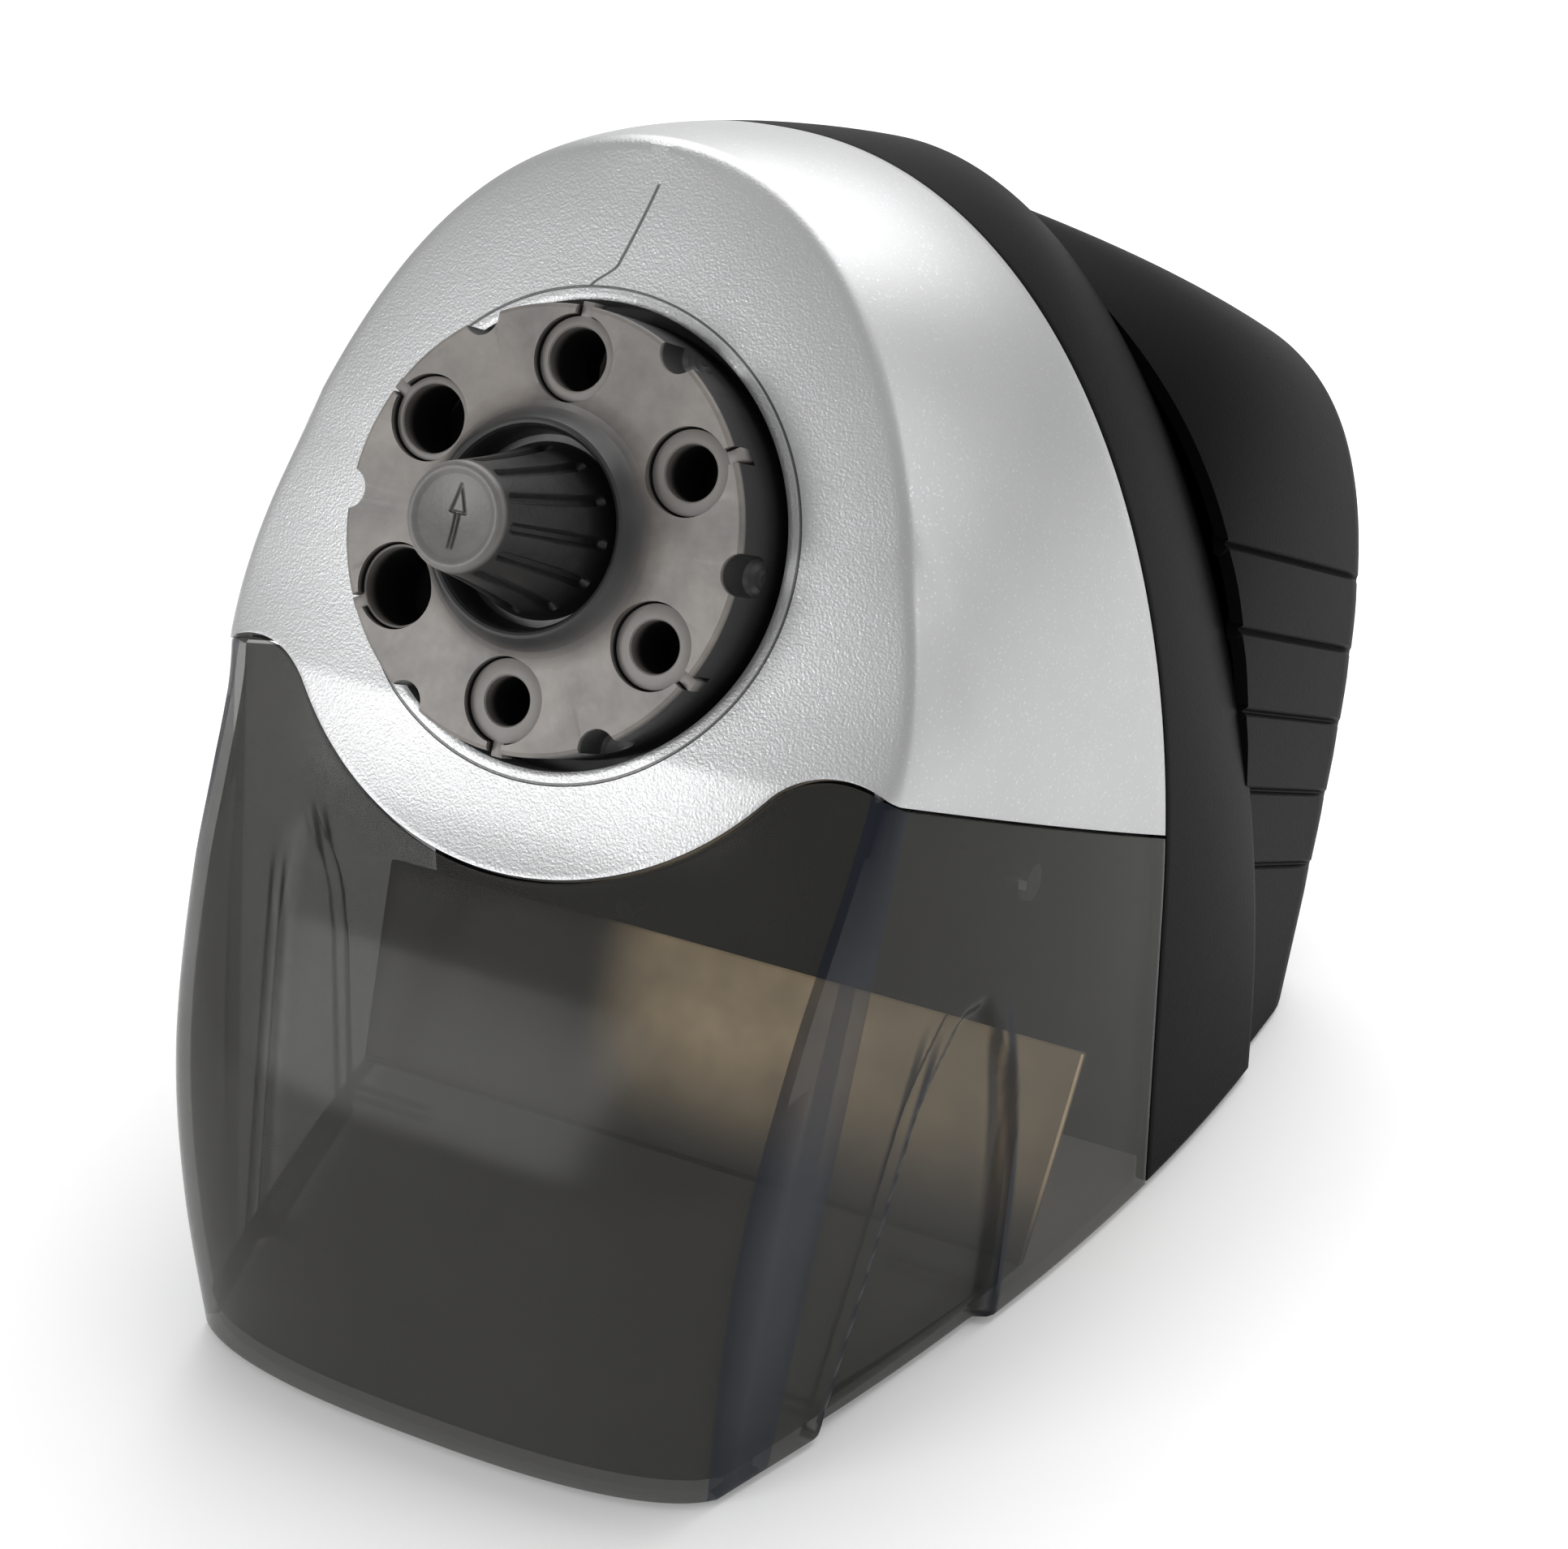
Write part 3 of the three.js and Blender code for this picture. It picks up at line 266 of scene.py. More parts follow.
def laid_grid(bm, columns, rows, place):
    """A grid of quads, with each vertex put where its column and row say."""
    made = bmesh.ops.create_grid(bm, x_segments=columns, y_segments=rows, size=1)["verts"]
    for vert in made:
        i = round((vert.co.x + 1) / 2 * columns)
        j = round((vert.co.y + 1) / 2 * rows)
        vert.co = place(i, j)


def object_of(bm, name):
    """A finished bmesh as an object in the scene."""
    mesh = bpy.data.meshes.new(name)
    bm.to_mesh(mesh)
    bm.free()
    made = bpy.data.objects.new(name, mesh)
    scene.collection.objects.link(made)
    return made


def modified(made, *steps, sharp=32):
    """Adds modifiers and applies them all, with smooth shading between edges that aren't sharp."""
    for kind, settings in steps:
        step = made.modifiers.new(kind.lower(), kind)
        for key, value in settings.items():
            setattr(step, key, value)
    evaluated = made.evaluated_get(bpy.context.evaluated_depsgraph_get())
    mesh = bpy.data.meshes.new_from_object(evaluated)
    made.modifiers.clear()
    made.data = mesh
    mesh.name = made.name
    mesh.shade_smooth()
    mesh.set_sharp_from_angle(angle=radians(sharp))
    return made


def mirrored():
    return "MIRROR", {"use_axis": (True, False, False), "merge_threshold": 0.02 * mm}


def walled(thickness):
    return "SOLIDIFY", {"thickness": thickness * mm, "offset": -1, "use_even_offset": False}


def softened(width, segments=2, angle=40):
    return "BEVEL", {
        "width": width * mm, "segments": segments, "limit_method": "ANGLE",
        "angle_limit": radians(angle), "use_clamp_overlap": True, "miter_outer": "MITER_ARC",
    }


# ------------------------------------------------------------ front cover
# One moulding painted silver: an egg-shaped face with a fine pebbled grain, a rounded edge that
# shines, and smoother side bands back to the seam. It is screwed to the bulkhead from inside.
opening = 35.8
collar_depth = 6.5
lip_widths, lip_depths = (0, 0, 0.15, 0.6), (collar_depth, 0.7, 0.2, 0)
lip_rows = len(lip_widths) - 1
edge_round = 1.3
face_gap = seam_gap / 2


class Link:
    """An output in a material's nodes, on which arithmetic adds Math nodes."""

    def __init__(self, tree, socket=None):
        self.tree, self.socket = tree, socket

    def node(self, kind, sockets=None, settings=None, out=0):
        made = self.tree.nodes.new("ShaderNode" + kind)
        for key, value in (settings or {}).items():
            if key == "stops":
                self.set_stops(made.color_ramp, value)
            else:
                setattr(made, key, value)
        for key, value in (sockets or {}).items():
            if isinstance(value, Link):
                self.tree.links.new(value.socket, made.inputs[key])
            else:
                made.inputs[key].default_value = value
        return Link(self.tree, made.outputs[out])

    @staticmethod
    def set_stops(ramp, stops):
        while len(ramp.elements) < len(stops):
            ramp.elements.new(0.5)
        for element, (place, level) in zip(ramp.elements, stops):
            element.position = place
            element.color = (level, level, level, 1)

    def math(self, operation, *others):
        return self.node("Math", dict(enumerate((self, *others))), {"operation": operation})

    def __add__(self, other):
        return self.math("ADD", other)

    __radd__ = __add__

    def __mul__(self, other):
        return self.math("MULTIPLY", other)

    __rmul__ = __mul__

    def __sub__(self, other):
        return self.math("SUBTRACT", other)

    def __rsub__(self, other):
        return self.node("Math", {0: other, 1: self}, {"operation": "SUBTRACT"})

    def ramp(self, *stops):
        return self.node("ValToRGB", {"Fac": self}, {"stops": stops})

    def mixed(self, low, high):
        """A colour between two, by this value."""
        return self.node("Mix", {0: self, 6: low, 7: high}, {"data_type": "RGBA"}, out=2)

    def level(self, start, stop, low=0, high=1):
        sockets = {"Value": self, "From Min": start, "From Max": stop, "To Min": low, "To Max": high}
        return self.node("MapRange", sockets, {"interpolation_type": "SMOOTHSTEP"})


def rgb(red, green, blue):
    return red, green, blue, 1


class Finish:
    """A material under way: its Object coordinates, its shader, and patterns at real sizes."""

    def __init__(self, name):
        self.material = bpy.data.materials.new(name)
        self.material.use_nodes = True
        tree = self.material.node_tree
        self.shader = tree.nodes["Principled BSDF"]
        self.start = Link(tree)
        self.place = self.start.node("TexCoord", out=3)

    def grain(self, size, detail=2, rough=0.5):
        """Noise whose blobs are about so many millimetres across."""
        sockets = {"Vector": self.place, "Scale": 1 / (size * mm), "Detail": detail, "Roughness": rough}
        return self.start.node("TexNoise", sockets)

    def flakes(self, size):
        """A random level in each of many small cells."""
        cells = self.start.node("TexVoronoi", {"Vector": self.place, "Scale": 1 / (size * mm)}, out=1)
        return cells.node("SeparateColor", {"Color": cells})

    def set(self, **values):
        for key, value in values.items():
            socket = self.shader.inputs[key.replace("_", " ").title().replace("Ior", "IOR")]
            if isinstance(value, Link):
                self.shader.id_data.links.new(value.socket, socket)
            else:
                socket.default_value = value

    def bump(self, height, depth, strength=1.0):
        """Relief: height is 0 to 1, and depth is its real size in millimetres."""
        sockets = {"Height": height, "Distance": depth * mm, "Strength": strength}
        self.set(Normal=self.start.node("Bump", sockets))

    def on(self, *objects):
        for made in objects:
            made.data.materials.clear()
            made.data.materials.append(self.material)


def along(finish, direction, origin):
    """How far a point is from origin along a direction, in metres."""
    away = finish.start.node("VectorMath", {0: finish.place, 1: tuple(origin)}, {"operation": "SUBTRACT"})
    sockets = {0: away, 1: tuple(direction)}
    return finish.start.node("VectorMath", sockets, {"operation": "DOT_PRODUCT"}, out=1)


def cover_half():
    """The right half of the cover's skin: face, rounded edge, and side band to the seam."""
    edge_columns, scallop_columns, face_rows, round_rows, band_rows = 84, 60, 26, 4, 20
    edge_start = corner_parting(face_gap)
    turns = [pi / 2 + (edge_start - pi / 2) * i / edge_columns for i in range(edge_columns + 1)]
    corners = [corner_point(turn) for turn in turns]
    seam_turn = side_parting(seam, face_gap)
    arounds = []

    def outline(i):
        """The face's outline: down the corner line, then along the scallop to the middle."""
        if i <= edge_columns:
            x, y, z = corners[i]
            up = y * sin(tilt) + (z - dial_height) * cos(tilt)
            inward = edge_round / hypot(x, up)
            return x * (1 - inward), up * (1 - inward)
        share = (i - edge_columns) / scallop_columns
        x = (corners[-1].x - edge_round) * (1 - share)
        return x, parting(x) + face_gap

    def face_point(i, j):
        """A place on the face: rows run up the collar, over its lip and out to the outline."""
        x1, up1 = outline(i)
        around = arounds[i]
        if j <= lip_rows:
            radius = opening + lip_widths[j]
            x0, up0 = radius * cos(around), radius * sin(around)
            back = front_at(x0, up0) + lip_depths[j]
            return head_point(x0, back, up0)
        share = ((j - lip_rows) / (face_rows - lip_rows)) ** 1.15
        radius = opening + lip_widths[-1]
        x0, up0 = radius * cos(around), radius * sin(around)
        x, up = x0 + (x1 - x0) * share, up0 + (up1 - up0) * share
        return head_point(x, front_at(x, up), up)

    for i in range(edge_columns + scallop_columns + 1):
        x, up = outline(i)
        arounds.append(min(atan2(up, x), arounds[-1] - 0.004 if i else pi))

    def band_point(i, j):
        """A place on the rounded edge, in the first rows, and then on the side band."""
        corner_here = corners[i]
        if j <= round_rows:
            start = Vector(face_point(i, face_rows))
            stop = Vector(band_point(i, round_rows + 1))
            peak = body_point(*corner_here)
            stop = peak + (stop - peak).normalized() * edge_round * mm
            t = j / round_rows
            return start * (1 - t) ** 2 + peak * 2 * t * (1 - t) + stop * t * t
        share = (j - round_rows) / band_rows
        y = corner_here.y + (seam - corner_here.y) * share
        lowest = side_parting(corners[-1].y + (seam - corners[-1].y) * share, face_gap)
        down = i / edge_columns
        turn = pi / 2 + (turns[i] - pi / 2) * (1 - share) + (seam_turn - pi / 2) * down * share
        straight = turns[-1] * (1 - share) + seam_turn * share
        x, z = section(turn + (lowest - straight) * down ** 3, y)
        return body_point(0 if i == 0 else x, y, z)

    bm = bmesh.new()
    laid_grid(bm, edge_columns + scallop_columns, face_rows, face_point)
    laid_grid(bm, edge_columns, round_rows + band_rows, band_point)
    bmesh.ops.remove_doubles(bm, verts=bm.verts, dist=0.01 * mm)
    bmesh.ops.recalc_face_normals(bm, faces=bm.faces)
    return bm


cover = modified(
    object_of(cover_half(), "silver_cover"),
    mirrored(), walled(2.2), softened(0.25, angle=70),
)
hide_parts("front_cover")
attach(cover, "housing")

silver = Finish("silver_paint")
face_depth = along(silver, dial_axis, dial_centre)
across = along(silver, (1, 0, 0), dial_centre)
face_up = along(silver, (0, -dial_axis.z, dial_axis.y), dial_centre)
on_band = face_depth.level(13.2 * mm, 14.4 * mm)
reach = (across * across + face_up * face_up).math("POWER", 0.5)

# A thin line is sunk round the opening, and a curved one runs up from it to mark the top hole. Both are
# bumped in, with their groove's shade painted near black into the colour.
ring_radius, pointer_foot, pointer_top, pointer_bend = 37.9, 37.3, 54.9, 15.7
ring_groove_shade = 1 - (reach - ring_radius * mm).math("ABSOLUTE").level(0.08 * mm, 0.3 * mm)
bend = (face_up - 39.0 * mm) * (1 / (pointer_bend * mm))
hook = face_up.level(37.4 * mm, 41.5 * mm, 5.2 * mm, 2.7 * mm)
pointer_x = bend * (5.4 * mm) - bend * bend * (1.2 * mm) - hook
pointer_groove_shade = 1 - (across - pointer_x).math("ABSOLUTE").level(0.08 * mm, 0.32 * mm)
pointer_groove_shade = pointer_groove_shade * face_up.level(pointer_foot * mm, 37.8 * mm)
pointer_groove_shade = pointer_groove_shade * (1 - face_up.level(54.3 * mm, pointer_top * mm))
line = ring_groove_shade.math("MAXIMUM", pointer_groove_shade) * (1 - on_band)
pebbles = silver.grain(0.42, 2, 0.5)
fleck = silver.flakes(0.3).level(0.93, 0.99)
tone = silver.grain(24, 2).mixed(rgb(0.46, 0.462, 0.465), rgb(0.53, 0.532, 0.538))
paint = (fleck * 0.3).mixed(tone, rgb(0.75, 0.77, 0.8))
# Painted shade: the sunk lines are mixed three quarters of the way to near black.
silver.set(base_color=(line * 0.75).mixed(paint, rgb(0.03, 0.03, 0.03)))
silver.set(metallic=0.78, roughness=0.45 - on_band * 0.03 - fleck * 0.08)
silver.bump(pebbles * (1 - on_band * 0.75) - line * 1.4, 0.085)
silver.on(cover)

# ------------------------------------------------------------ shavings bin
# A drawer of smoke-grey clear plastic, moulded in one: a bulged front, rounded corner strips, and
# flat sides with a leaf-shaped finger grip sunk in each. Its rear wall leans with the pencil axis.
bin_gap = -seam_gap / 2
strip = 2.2
grip_depth = 2.6
grip_foot_front, grip_foot_back, grip_top = -15.6, 26.0, 67.0


def grip(y, z):
    """How deep the finger grip is at a place on the side."""
    rise = z / grip_top
    front_edge = grip_foot_front + 0.41 * z + 9.5 * max(0, rise - 0.72) ** 0.5 * smooth(0.72, 1, rise)
    back_edge = grip_foot_back + 5.2 * sin(min(1, rise * 1.15) * pi * 0.62)
    back_edge -= 7.5 * smooth(0.55, 1, rise) ** 2
    inside = smooth(0, 2.6, y - front_edge) * smooth(0, 1.8, back_edge - y)
    return grip_depth * inside * (1 - smooth(0.93, 1.0, rise)) * (0.55 + 0.45 * (1 - rise))


def bin_half():
    """The right half of the bin's outer skin, from the middle of the front round to the seam."""
    front_columns, strip_columns, side_columns, rows = 44, 4, 92, 110

    def column_point(i, share):
        """A place on the skin in column i, a share of the way from the table up to the parting."""
        low = ground_gap
        if i <= front_columns:
            across = i / front_columns
            z = low
            for _ in range(10):
                edge = side_width(corner(z), z)
                x = (edge - strip) * across
                top = parting_height(x, front(x, front_top(x)), bin_gap)
                z = low + (top - low) * share
            return Vector((x, front(x, z), z))
        back = (i - front_columns - strip_columns) / side_columns
        z = low
        for _ in range(10):
            y = corner(z) + strip + (seam - corner(z) - strip) * back
            top = parting_height(side_width(y, z), y, bin_gap)
            z = low + (top - low) * share
        return Vector((side_width(y, z) - grip(y, z), y, z))

    def front_top(x):
        """The height at which the front meets the parting line."""
        z = dial_height - 40
        for _ in range(8):
            z = parting_height(x, front(x, z), bin_gap)
        return z

    def place(i, j):
        share = j / rows
        if front_columns < i < front_columns + strip_columns:
            start = column_point(front_columns, share)
            stop = column_point(front_columns + strip_columns, share)
            z = (start.z + stop.z) / 2
            peak = Vector((side_width(corner(z), z), corner(z), z))
            t = (i - front_columns) / strip_columns
            bent = start * (1 - t) ** 2 + peak * 2 * t * (1 - t) + stop * t * t
            return body_point(*bent)
        point = column_point(i, share)
        return body_point(0 if i == 0 else point.x, point.y, point.z)

    bm = bmesh.new()
    laid_grid(bm, front_columns + strip_columns + side_columns, rows, place)
    bmesh.ops.recalc_face_normals(bm, faces=bm.faces)
    return bm


def outward(bm, away):
    """Turns an open skin's faces to point away from a place inside it."""
    bm.faces.ensure_lookup_table()
    face = bm.faces[0]
    if face.normal.dot(face.calc_center_median() - away) < 0:
        bmesh.ops.reverse_faces(bm, faces=bm.faces)
    return bm


smoke_bin = modified(
    object_of(outward(bin_half(), body_point(0, 40, 40)), "smoke_bin"),
    mirrored(), walled(2.3), softened(0.3, angle=55),
)
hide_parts("shavings_bin")
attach(smoke_bin, "bin")

back_start, back_top, bin_floor = 94.5, 38, 2.6
floor_columns, floor_rows, floor_inset = 28, 24, 2.6
back_columns, back_rows, back_inset = 40, 10, 2.5


def floor_place(i, j):
    """A place on the bin's floor: rows run from the bulged front to the leaning rear wall."""
    z = ground_gap + bin_floor
    side, share = 2 * i / floor_columns - 1, j / floor_rows
    stop = (back_start - (dial_height - z) * sin(tilt)) / cos(tilt)
    y = corner(z) + (stop - corner(z)) * share
    x = side * (side_width(y, z) - floor_inset)
    start = front(side * (side_width(corner(z), z) - floor_inset), z) + floor_inset
    return body_point(x, start + (stop - start) * share, z)


def back_place(i, j):
    """A place on the bin's rear wall, which rises from the floor and leans back."""
    z = ground_gap + bin_floor + (back_top - ground_gap - bin_floor) * j / back_rows
    y = (back_start - (dial_height - z) * sin(tilt)) / cos(tilt)
    return body_point((2 * i / back_columns - 1) * (side_width(y, z) - back_inset), y, z)


floor_grid, back_grid = bmesh.new(), bmesh.new()
laid_grid(floor_grid, floor_columns, floor_rows, floor_place)
laid_grid(back_grid, back_columns, back_rows, back_place)
outward(floor_grid, body_point(0, 20, 40))
outward(back_grid, body_point(0, 0, 60))
bin_base = modified(object_of(floor_grid, "bin_floor"), walled(2), softened(0.3))
bin_back = modified(object_of(back_grid, "bin_rear_wall"), walled(2.3), softened(0.3))
for part in (bin_base, bin_back):
    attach(part, "bin")

smoke = Finish("smoke_plastic")
facing = smoke.start.node("LayerWeight", {"Blend": 0.25}, out=1)
haze = smoke.grain(30, 2)
side_y = along(smoke, (0, 1, 0), (0, dial_centre.y, 0)) * (1 / mm)
side_z = along(smoke, (0, 0, 1), (0, 0, 0)) * (1 / mm)

# The grip's two edges get painted shade as dark creases: a straight one in front and a bowed one behind.
crease_core, crease_edge, bow_middle, bow_depth, bow_back = 0.3, 1.7, 35, 4.6, 30.6
front_edge_shade = (side_y - side_z * 0.41 - grip_foot_front).math("ABSOLUTE")
front_edge_shade = front_edge_shade.level(crease_core, crease_edge, 1, 0)
bow = (side_z - bow_middle) * (1 / bow_middle)
back_edge_shade = (side_y + bow * bow * bow_depth - bow_back).math("ABSOLUTE")
back_edge_shade = back_edge_shade.level(crease_core, crease_edge, 1, 0)
on_side = along(smoke, (1, 0, 0), (0, 0, 0)).math("ABSOLUTE").level(44 * mm, 48 * mm)
grip_edge_shade = front_edge_shade.math("MAXIMUM", back_edge_shade) * on_side * side_z.level(58, 67, 1, 0)
clear_tone = haze.mixed(rgb(0.036, 0.036, 0.033), rgb(0.052, 0.051, 0.046))
# Painted shade: the grip's edges are mixed to near black and made more opaque.
smoke.set(base_color=grip_edge_shade.mixed(clear_tone, rgb(0.007, 0.009, 0.015)))
smoke.set(alpha=(facing * 0.5 + grip_edge_shade * 0.4 + 0.42).math("MINIMUM", 1), roughness=0.14 + haze * 0.08)
smoke.set(specular_ior_level=0.14)
smoke.bump(smoke.grain(9, 1), 0.05, 0.3)
smoke.on(smoke_bin, bin_base)

# The corner strips get painted shade: darker and bluer than the rest, where the rounded corners look dark
# through the plastic.
corner_strip_shade = Finish("smoke_plastic_corner")
strip_haze = corner_strip_shade.grain(14, 2)
corner_strip_shade.set(base_color=strip_haze.mixed(rgb(0.008, 0.010, 0.016), rgb(0.014, 0.018, 0.028)))
corner_strip_shade.set(alpha=strip_haze * 0.1 + 0.72, roughness=0.12 + strip_haze * 0.05, specular_ior_level=0.2)
corner_strip_shade.bump(corner_strip_shade.grain(9, 1), 0.04, 0.3)
smoke_bin.data.materials.append(corner_strip_shade.material)
for face in smoke_bin.data.polygons:
    x, y, z = face.center / mm
    y -= dial_centre.y / mm
    by_side = abs(x) > side_width(corner(z), z) - strip - 0.8
    face.material_index = int(by_side and y < corner(z) + strip + 0.6)

# The rear wall gets painted light: a warm, bright glow painted into its colour and emission, fading out
# toward the floor and the left, broken by patches and streaks.
painted_light_wall = Finish("lit_rear_wall")
patches = painted_light_wall.grain(16, 3, 0.6).ramp((0.3, 0), (0.7, 1))
streaks = painted_light_wall.grain(5, 3, 0.6)
up_wall = along(painted_light_wall, (0, 0, 1), (0, 0, 0)).level(6 * mm, 27 * mm)
from_left = along(painted_light_wall, (1, 0, 0), (0, 0, 0)).level(-26 * mm, -8 * mm)
painted_light = up_wall * from_left * (patches * 0.3 + streaks * 0.25 + 0.4)
# Painted light: tan colour and a glow of its own where the wall would be lit, over dark smoke elsewhere.
painted_light_wall.set(base_color=painted_light.mixed(rgb(0.05, 0.043, 0.032), rgb(0.72, 0.56, 0.36)))
painted_light_wall.set(emission_color=painted_light.mixed(rgb(0, 0, 0), rgb(0.5, 0.38, 0.23)), emission_strength=1.0)
painted_light_wall.set(roughness=0.3 + streaks * 0.15)
painted_light_wall.bump(streaks, 0.1)
painted_light_wall.on(bin_back)

# ------------------------------------------------------------ main housing
# The black band behind the cover: a satin ring of moulded plastic. The bulkhead is fixed inside
# it, and it shares the base plate with the rear housing.
band_start, band_end = (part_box("main_housing")[k].y / mm - dial_centre.y / mm for k in (0, 1))


def band_half():
    """The right half of the band's skin, from the top down to the table's gap."""
    columns, rows = 110, 26

    def place(i, j):
        y = band_start + (band_end - band_start) * j / rows
        lowest = section_turn(y, ground_gap)
        x, z = section(pi / 2 + (lowest - pi / 2) * i / columns, y)
        return body_point(0 if i == 0 else x, y, z)

    bm = bmesh.new()
    laid_grid(bm, columns, rows, place)
    return bm


band = modified(
    object_of(outward(band_half(), body_point(0, 90, 60)), "black_band"),
    mirrored(), walled(2.5), softened(0.45),
)
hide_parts("main_housing")
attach(band, "housing")

black = Finish("black_housing_plastic")
fine = black.grain(0.45, 2)
cloud = black.grain(35, 3)
black.set(base_color=cloud.mixed(rgb(0.0035, 0.0035, 0.004), rgb(0.0065, 0.006, 0.006)))
black.set(roughness=0.42 + fine * 0.1, specular_ior_level=0.03)
black.bump(fine, 0.05)
black.on(band, frame["nodes"]["bulkhead"], frame["nodes"]["base_plate"])

# ------------------------------------------------------------ rear housing
# The motor's cover: a black moulding square to the pencil axis, boxier toward its rounded end.
# Five grooves are sunk in each side, and its flat end has vents and the cord's hole.
rear_end, rear_round = 200, 15
rear_half, rear_spring = half_band - 3, -60
groove_top, groove_step, groove_count, groove_depth = 20.5, 13.9, 5, 1.0
grooves = [groove_top - groove_step * i for i in range(groove_count)]
groove_zone, shingle_depth, under_band = 8, 0.35, 3.5


def rear_top(back):
    return 73 - 0.055 * (back - 95)


def rear_power(back):
    return 2.1 + 1.8 * (1 - (1 - min(1, max(0, (back - 95) / 95))) ** 2.2)


def groove(up, back):
    """How deep a groove is at a place on the side: a steep upper lip and a long lower slope."""
    fade = 1 - smooth(rear_end - 13, rear_end - 8, back)
    level = max(max(0, 1 - abs(up - one) / 0.9) for one in grooves)
    shingle = max(smooth(-6, 0, up - one) * (1 - smooth(-0.4, 0.5, up - one)) for one in grooves)
    return fade * (groove_depth * smooth(0, 1, level) + shingle_depth * shingle)


def rear_half_skin():
    """The right half of the cover's skin, with rows close together where its grooves are."""
    low_rows, top_rows, length_rows, round_rows, end_rows = 14, 46, 60, 10, 8
    zone_low, zone_high = grooves[-1] - groove_zone, groove_top + groove_zone
    even_ups = {round(zone_low + (zone_high - zone_low) * i / 24, 3) for i in range(25)}
    offsets = (-1.3, -0.9, -0.6, -0.3, 0, 0.3, 0.6, 0.9, 1.3)
    fine_ups = sorted(even_ups | {round(one + offset, 3) for one in grooves for offset in offsets})
    columns = low_rows + len(fine_ups) - 1 + top_rows
    rows = length_rows + round_rows + end_rows

    def place(i, j):
        inward = max(0, j - length_rows - round_rows) / end_rows
        turn = min(1, max(0, j - length_rows) / round_rows) * pi / 2
        share = min(1, j / length_rows)
        back, up = 120, 0
        for _ in range(8):
            start = (band_end - under_band - up * sin(tilt)) / cos(tilt)
            back = start + (rear_end - rear_round - start) * share + rear_round * sin(turn)
            shrink = rear_round * (1 - cos(turn)) * 0.9
            power, top = rear_power(back), rear_top(back)
            if i < low_rows:
                lowest = (ground_gap - dial_height + back * sin(tilt)) / cos(tilt)
                up = lowest + (zone_low - lowest) * i / low_rows
            elif i < low_rows + len(fine_ups):
                up = fine_ups[i - low_rows]
            else:
                first = asin(((zone_high - rear_spring) / (top - rear_spring)) ** (power / 2))
                angle = first + (pi / 2 - first) * (i - columns + top_rows) / top_rows
                up = rear_spring + (top - rear_spring) * sin(angle) ** (2 / power)
            rise = max(0, (up - rear_spring) / (top - rear_spring))
            x = (rear_half - shrink - groove(up, back)) * max(0, 1 - rise ** power) ** (1 / power)
            if up > rear_spring:
                up = rear_spring + (up - rear_spring) * (1 - shrink / (top - rear_spring))
        return head_point(0 if i == columns else x * (1 - inward), back, up)

    bm = bmesh.new()
    laid_grid(bm, columns, rows, place)
    return bm


rear_skin = outward(rear_half_skin(), head_point(0, 150, 0))
rear = modified(object_of(rear_skin, "rear_cover"), mirrored(), walled(2.5), softened(0.4))
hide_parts("rear_housing")
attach(rear, "housing")

warm_black = Finish("rear_housing_plastic")
speck = warm_black.grain(0.5, 2)
shade = warm_black.grain(40, 3)
warm_black.set(base_color=shade.mixed(rgb(0.0035, 0.0034, 0.0036), rgb(0.0075, 0.0070, 0.0070)))
warm_black.set(roughness=0.44 + speck * 0.1, specular_ior_level=0.03)
warm_black.bump(speck, 0.05)
warm_black.on(rear)

vent_middle, vent_step, vent_size = -4, 9, (0.048, 0.02, 0.004)
vents = bmesh.new()
for lift in range(-2, 3):
    made = bmesh.ops.create_cube(vents, size=1)["verts"]
    sized = head.to_3x3().to_4x4() @ Matrix.Diagonal((*vent_size, 1))
    bmesh.ops.transform(vents, matrix=sized, verts=made)
    bmesh.ops.translate(vents, vec=head_point(0, rear_end, vent_middle + vent_step * lift), verts=made)


def carved(made, cutter_mesh, *steps, sharp=32):
    """Cuts a closed tool out of a piece, then adds any last modifiers."""
    cutter = object_of(cutter_mesh, made.name + "_cutter")
    cut = "BOOLEAN", {"object": cutter, "operation": "DIFFERENCE", "solver": "MANIFOLD"}
    modified(made, cut, *steps, sharp=sharp)
    bpy.data.objects.remove(cutter)
    return made


carved(rear, vents)

# ------------------------------------------------------------ dial disc
# A warm grey glass-filled nylon turning: a flat face, a black skirt with a scoop between each two
# holes, and a raised ring round the knob's recess. Each hole is a guide bush's seat, with a slot.
dial_radius, hole_circle, bush_radius, seat_room = 34, 26, 6.45, 0.25
slot_out, slot_back, slot_size = 32.8, 1.05, (0.009, 0.0102, 0.0025)
scoop_radius, scoop_length, scoop_outside = 3.2, 6, 0.4
hole_angles = [radians(90 + 60 * i) for i in range(6)]


def spun(bm, profile, steps=144, centre=(0, 0)):
    """A profile of radius and distance back, turned about the dial's axis or one beside it."""
    verts = [bm.verts.new((r * mm, back * mm, 0)) for r, back in profile]
    edges = [bm.edges.new((verts[i], verts[(i + 1) % len(verts)])) for i in range(len(verts))]
    bmesh.ops.spin(
        bm, geom=verts + edges, axis=(0, 1, 0), cent=(0, 0, 0), angle=2 * pi, steps=steps, use_merge=True,
    )
    bmesh.ops.remove_doubles(bm, verts=bm.verts, dist=0.002 * mm)
    fresh = [v for v in bm.verts if not v.tag]
    bmesh.ops.translate(bm, vec=(centre[0] * mm, 0, centre[1] * mm), verts=fresh)
    for vert in fresh:
        vert.tag = True


def headed(bm):
    """A mesh built along +Y at the origin, put in the head frame."""
    bmesh.ops.recalc_face_normals(bm, faces=bm.faces)
    bmesh.ops.transform(bm, matrix=head, verts=bm.verts)
    return bm


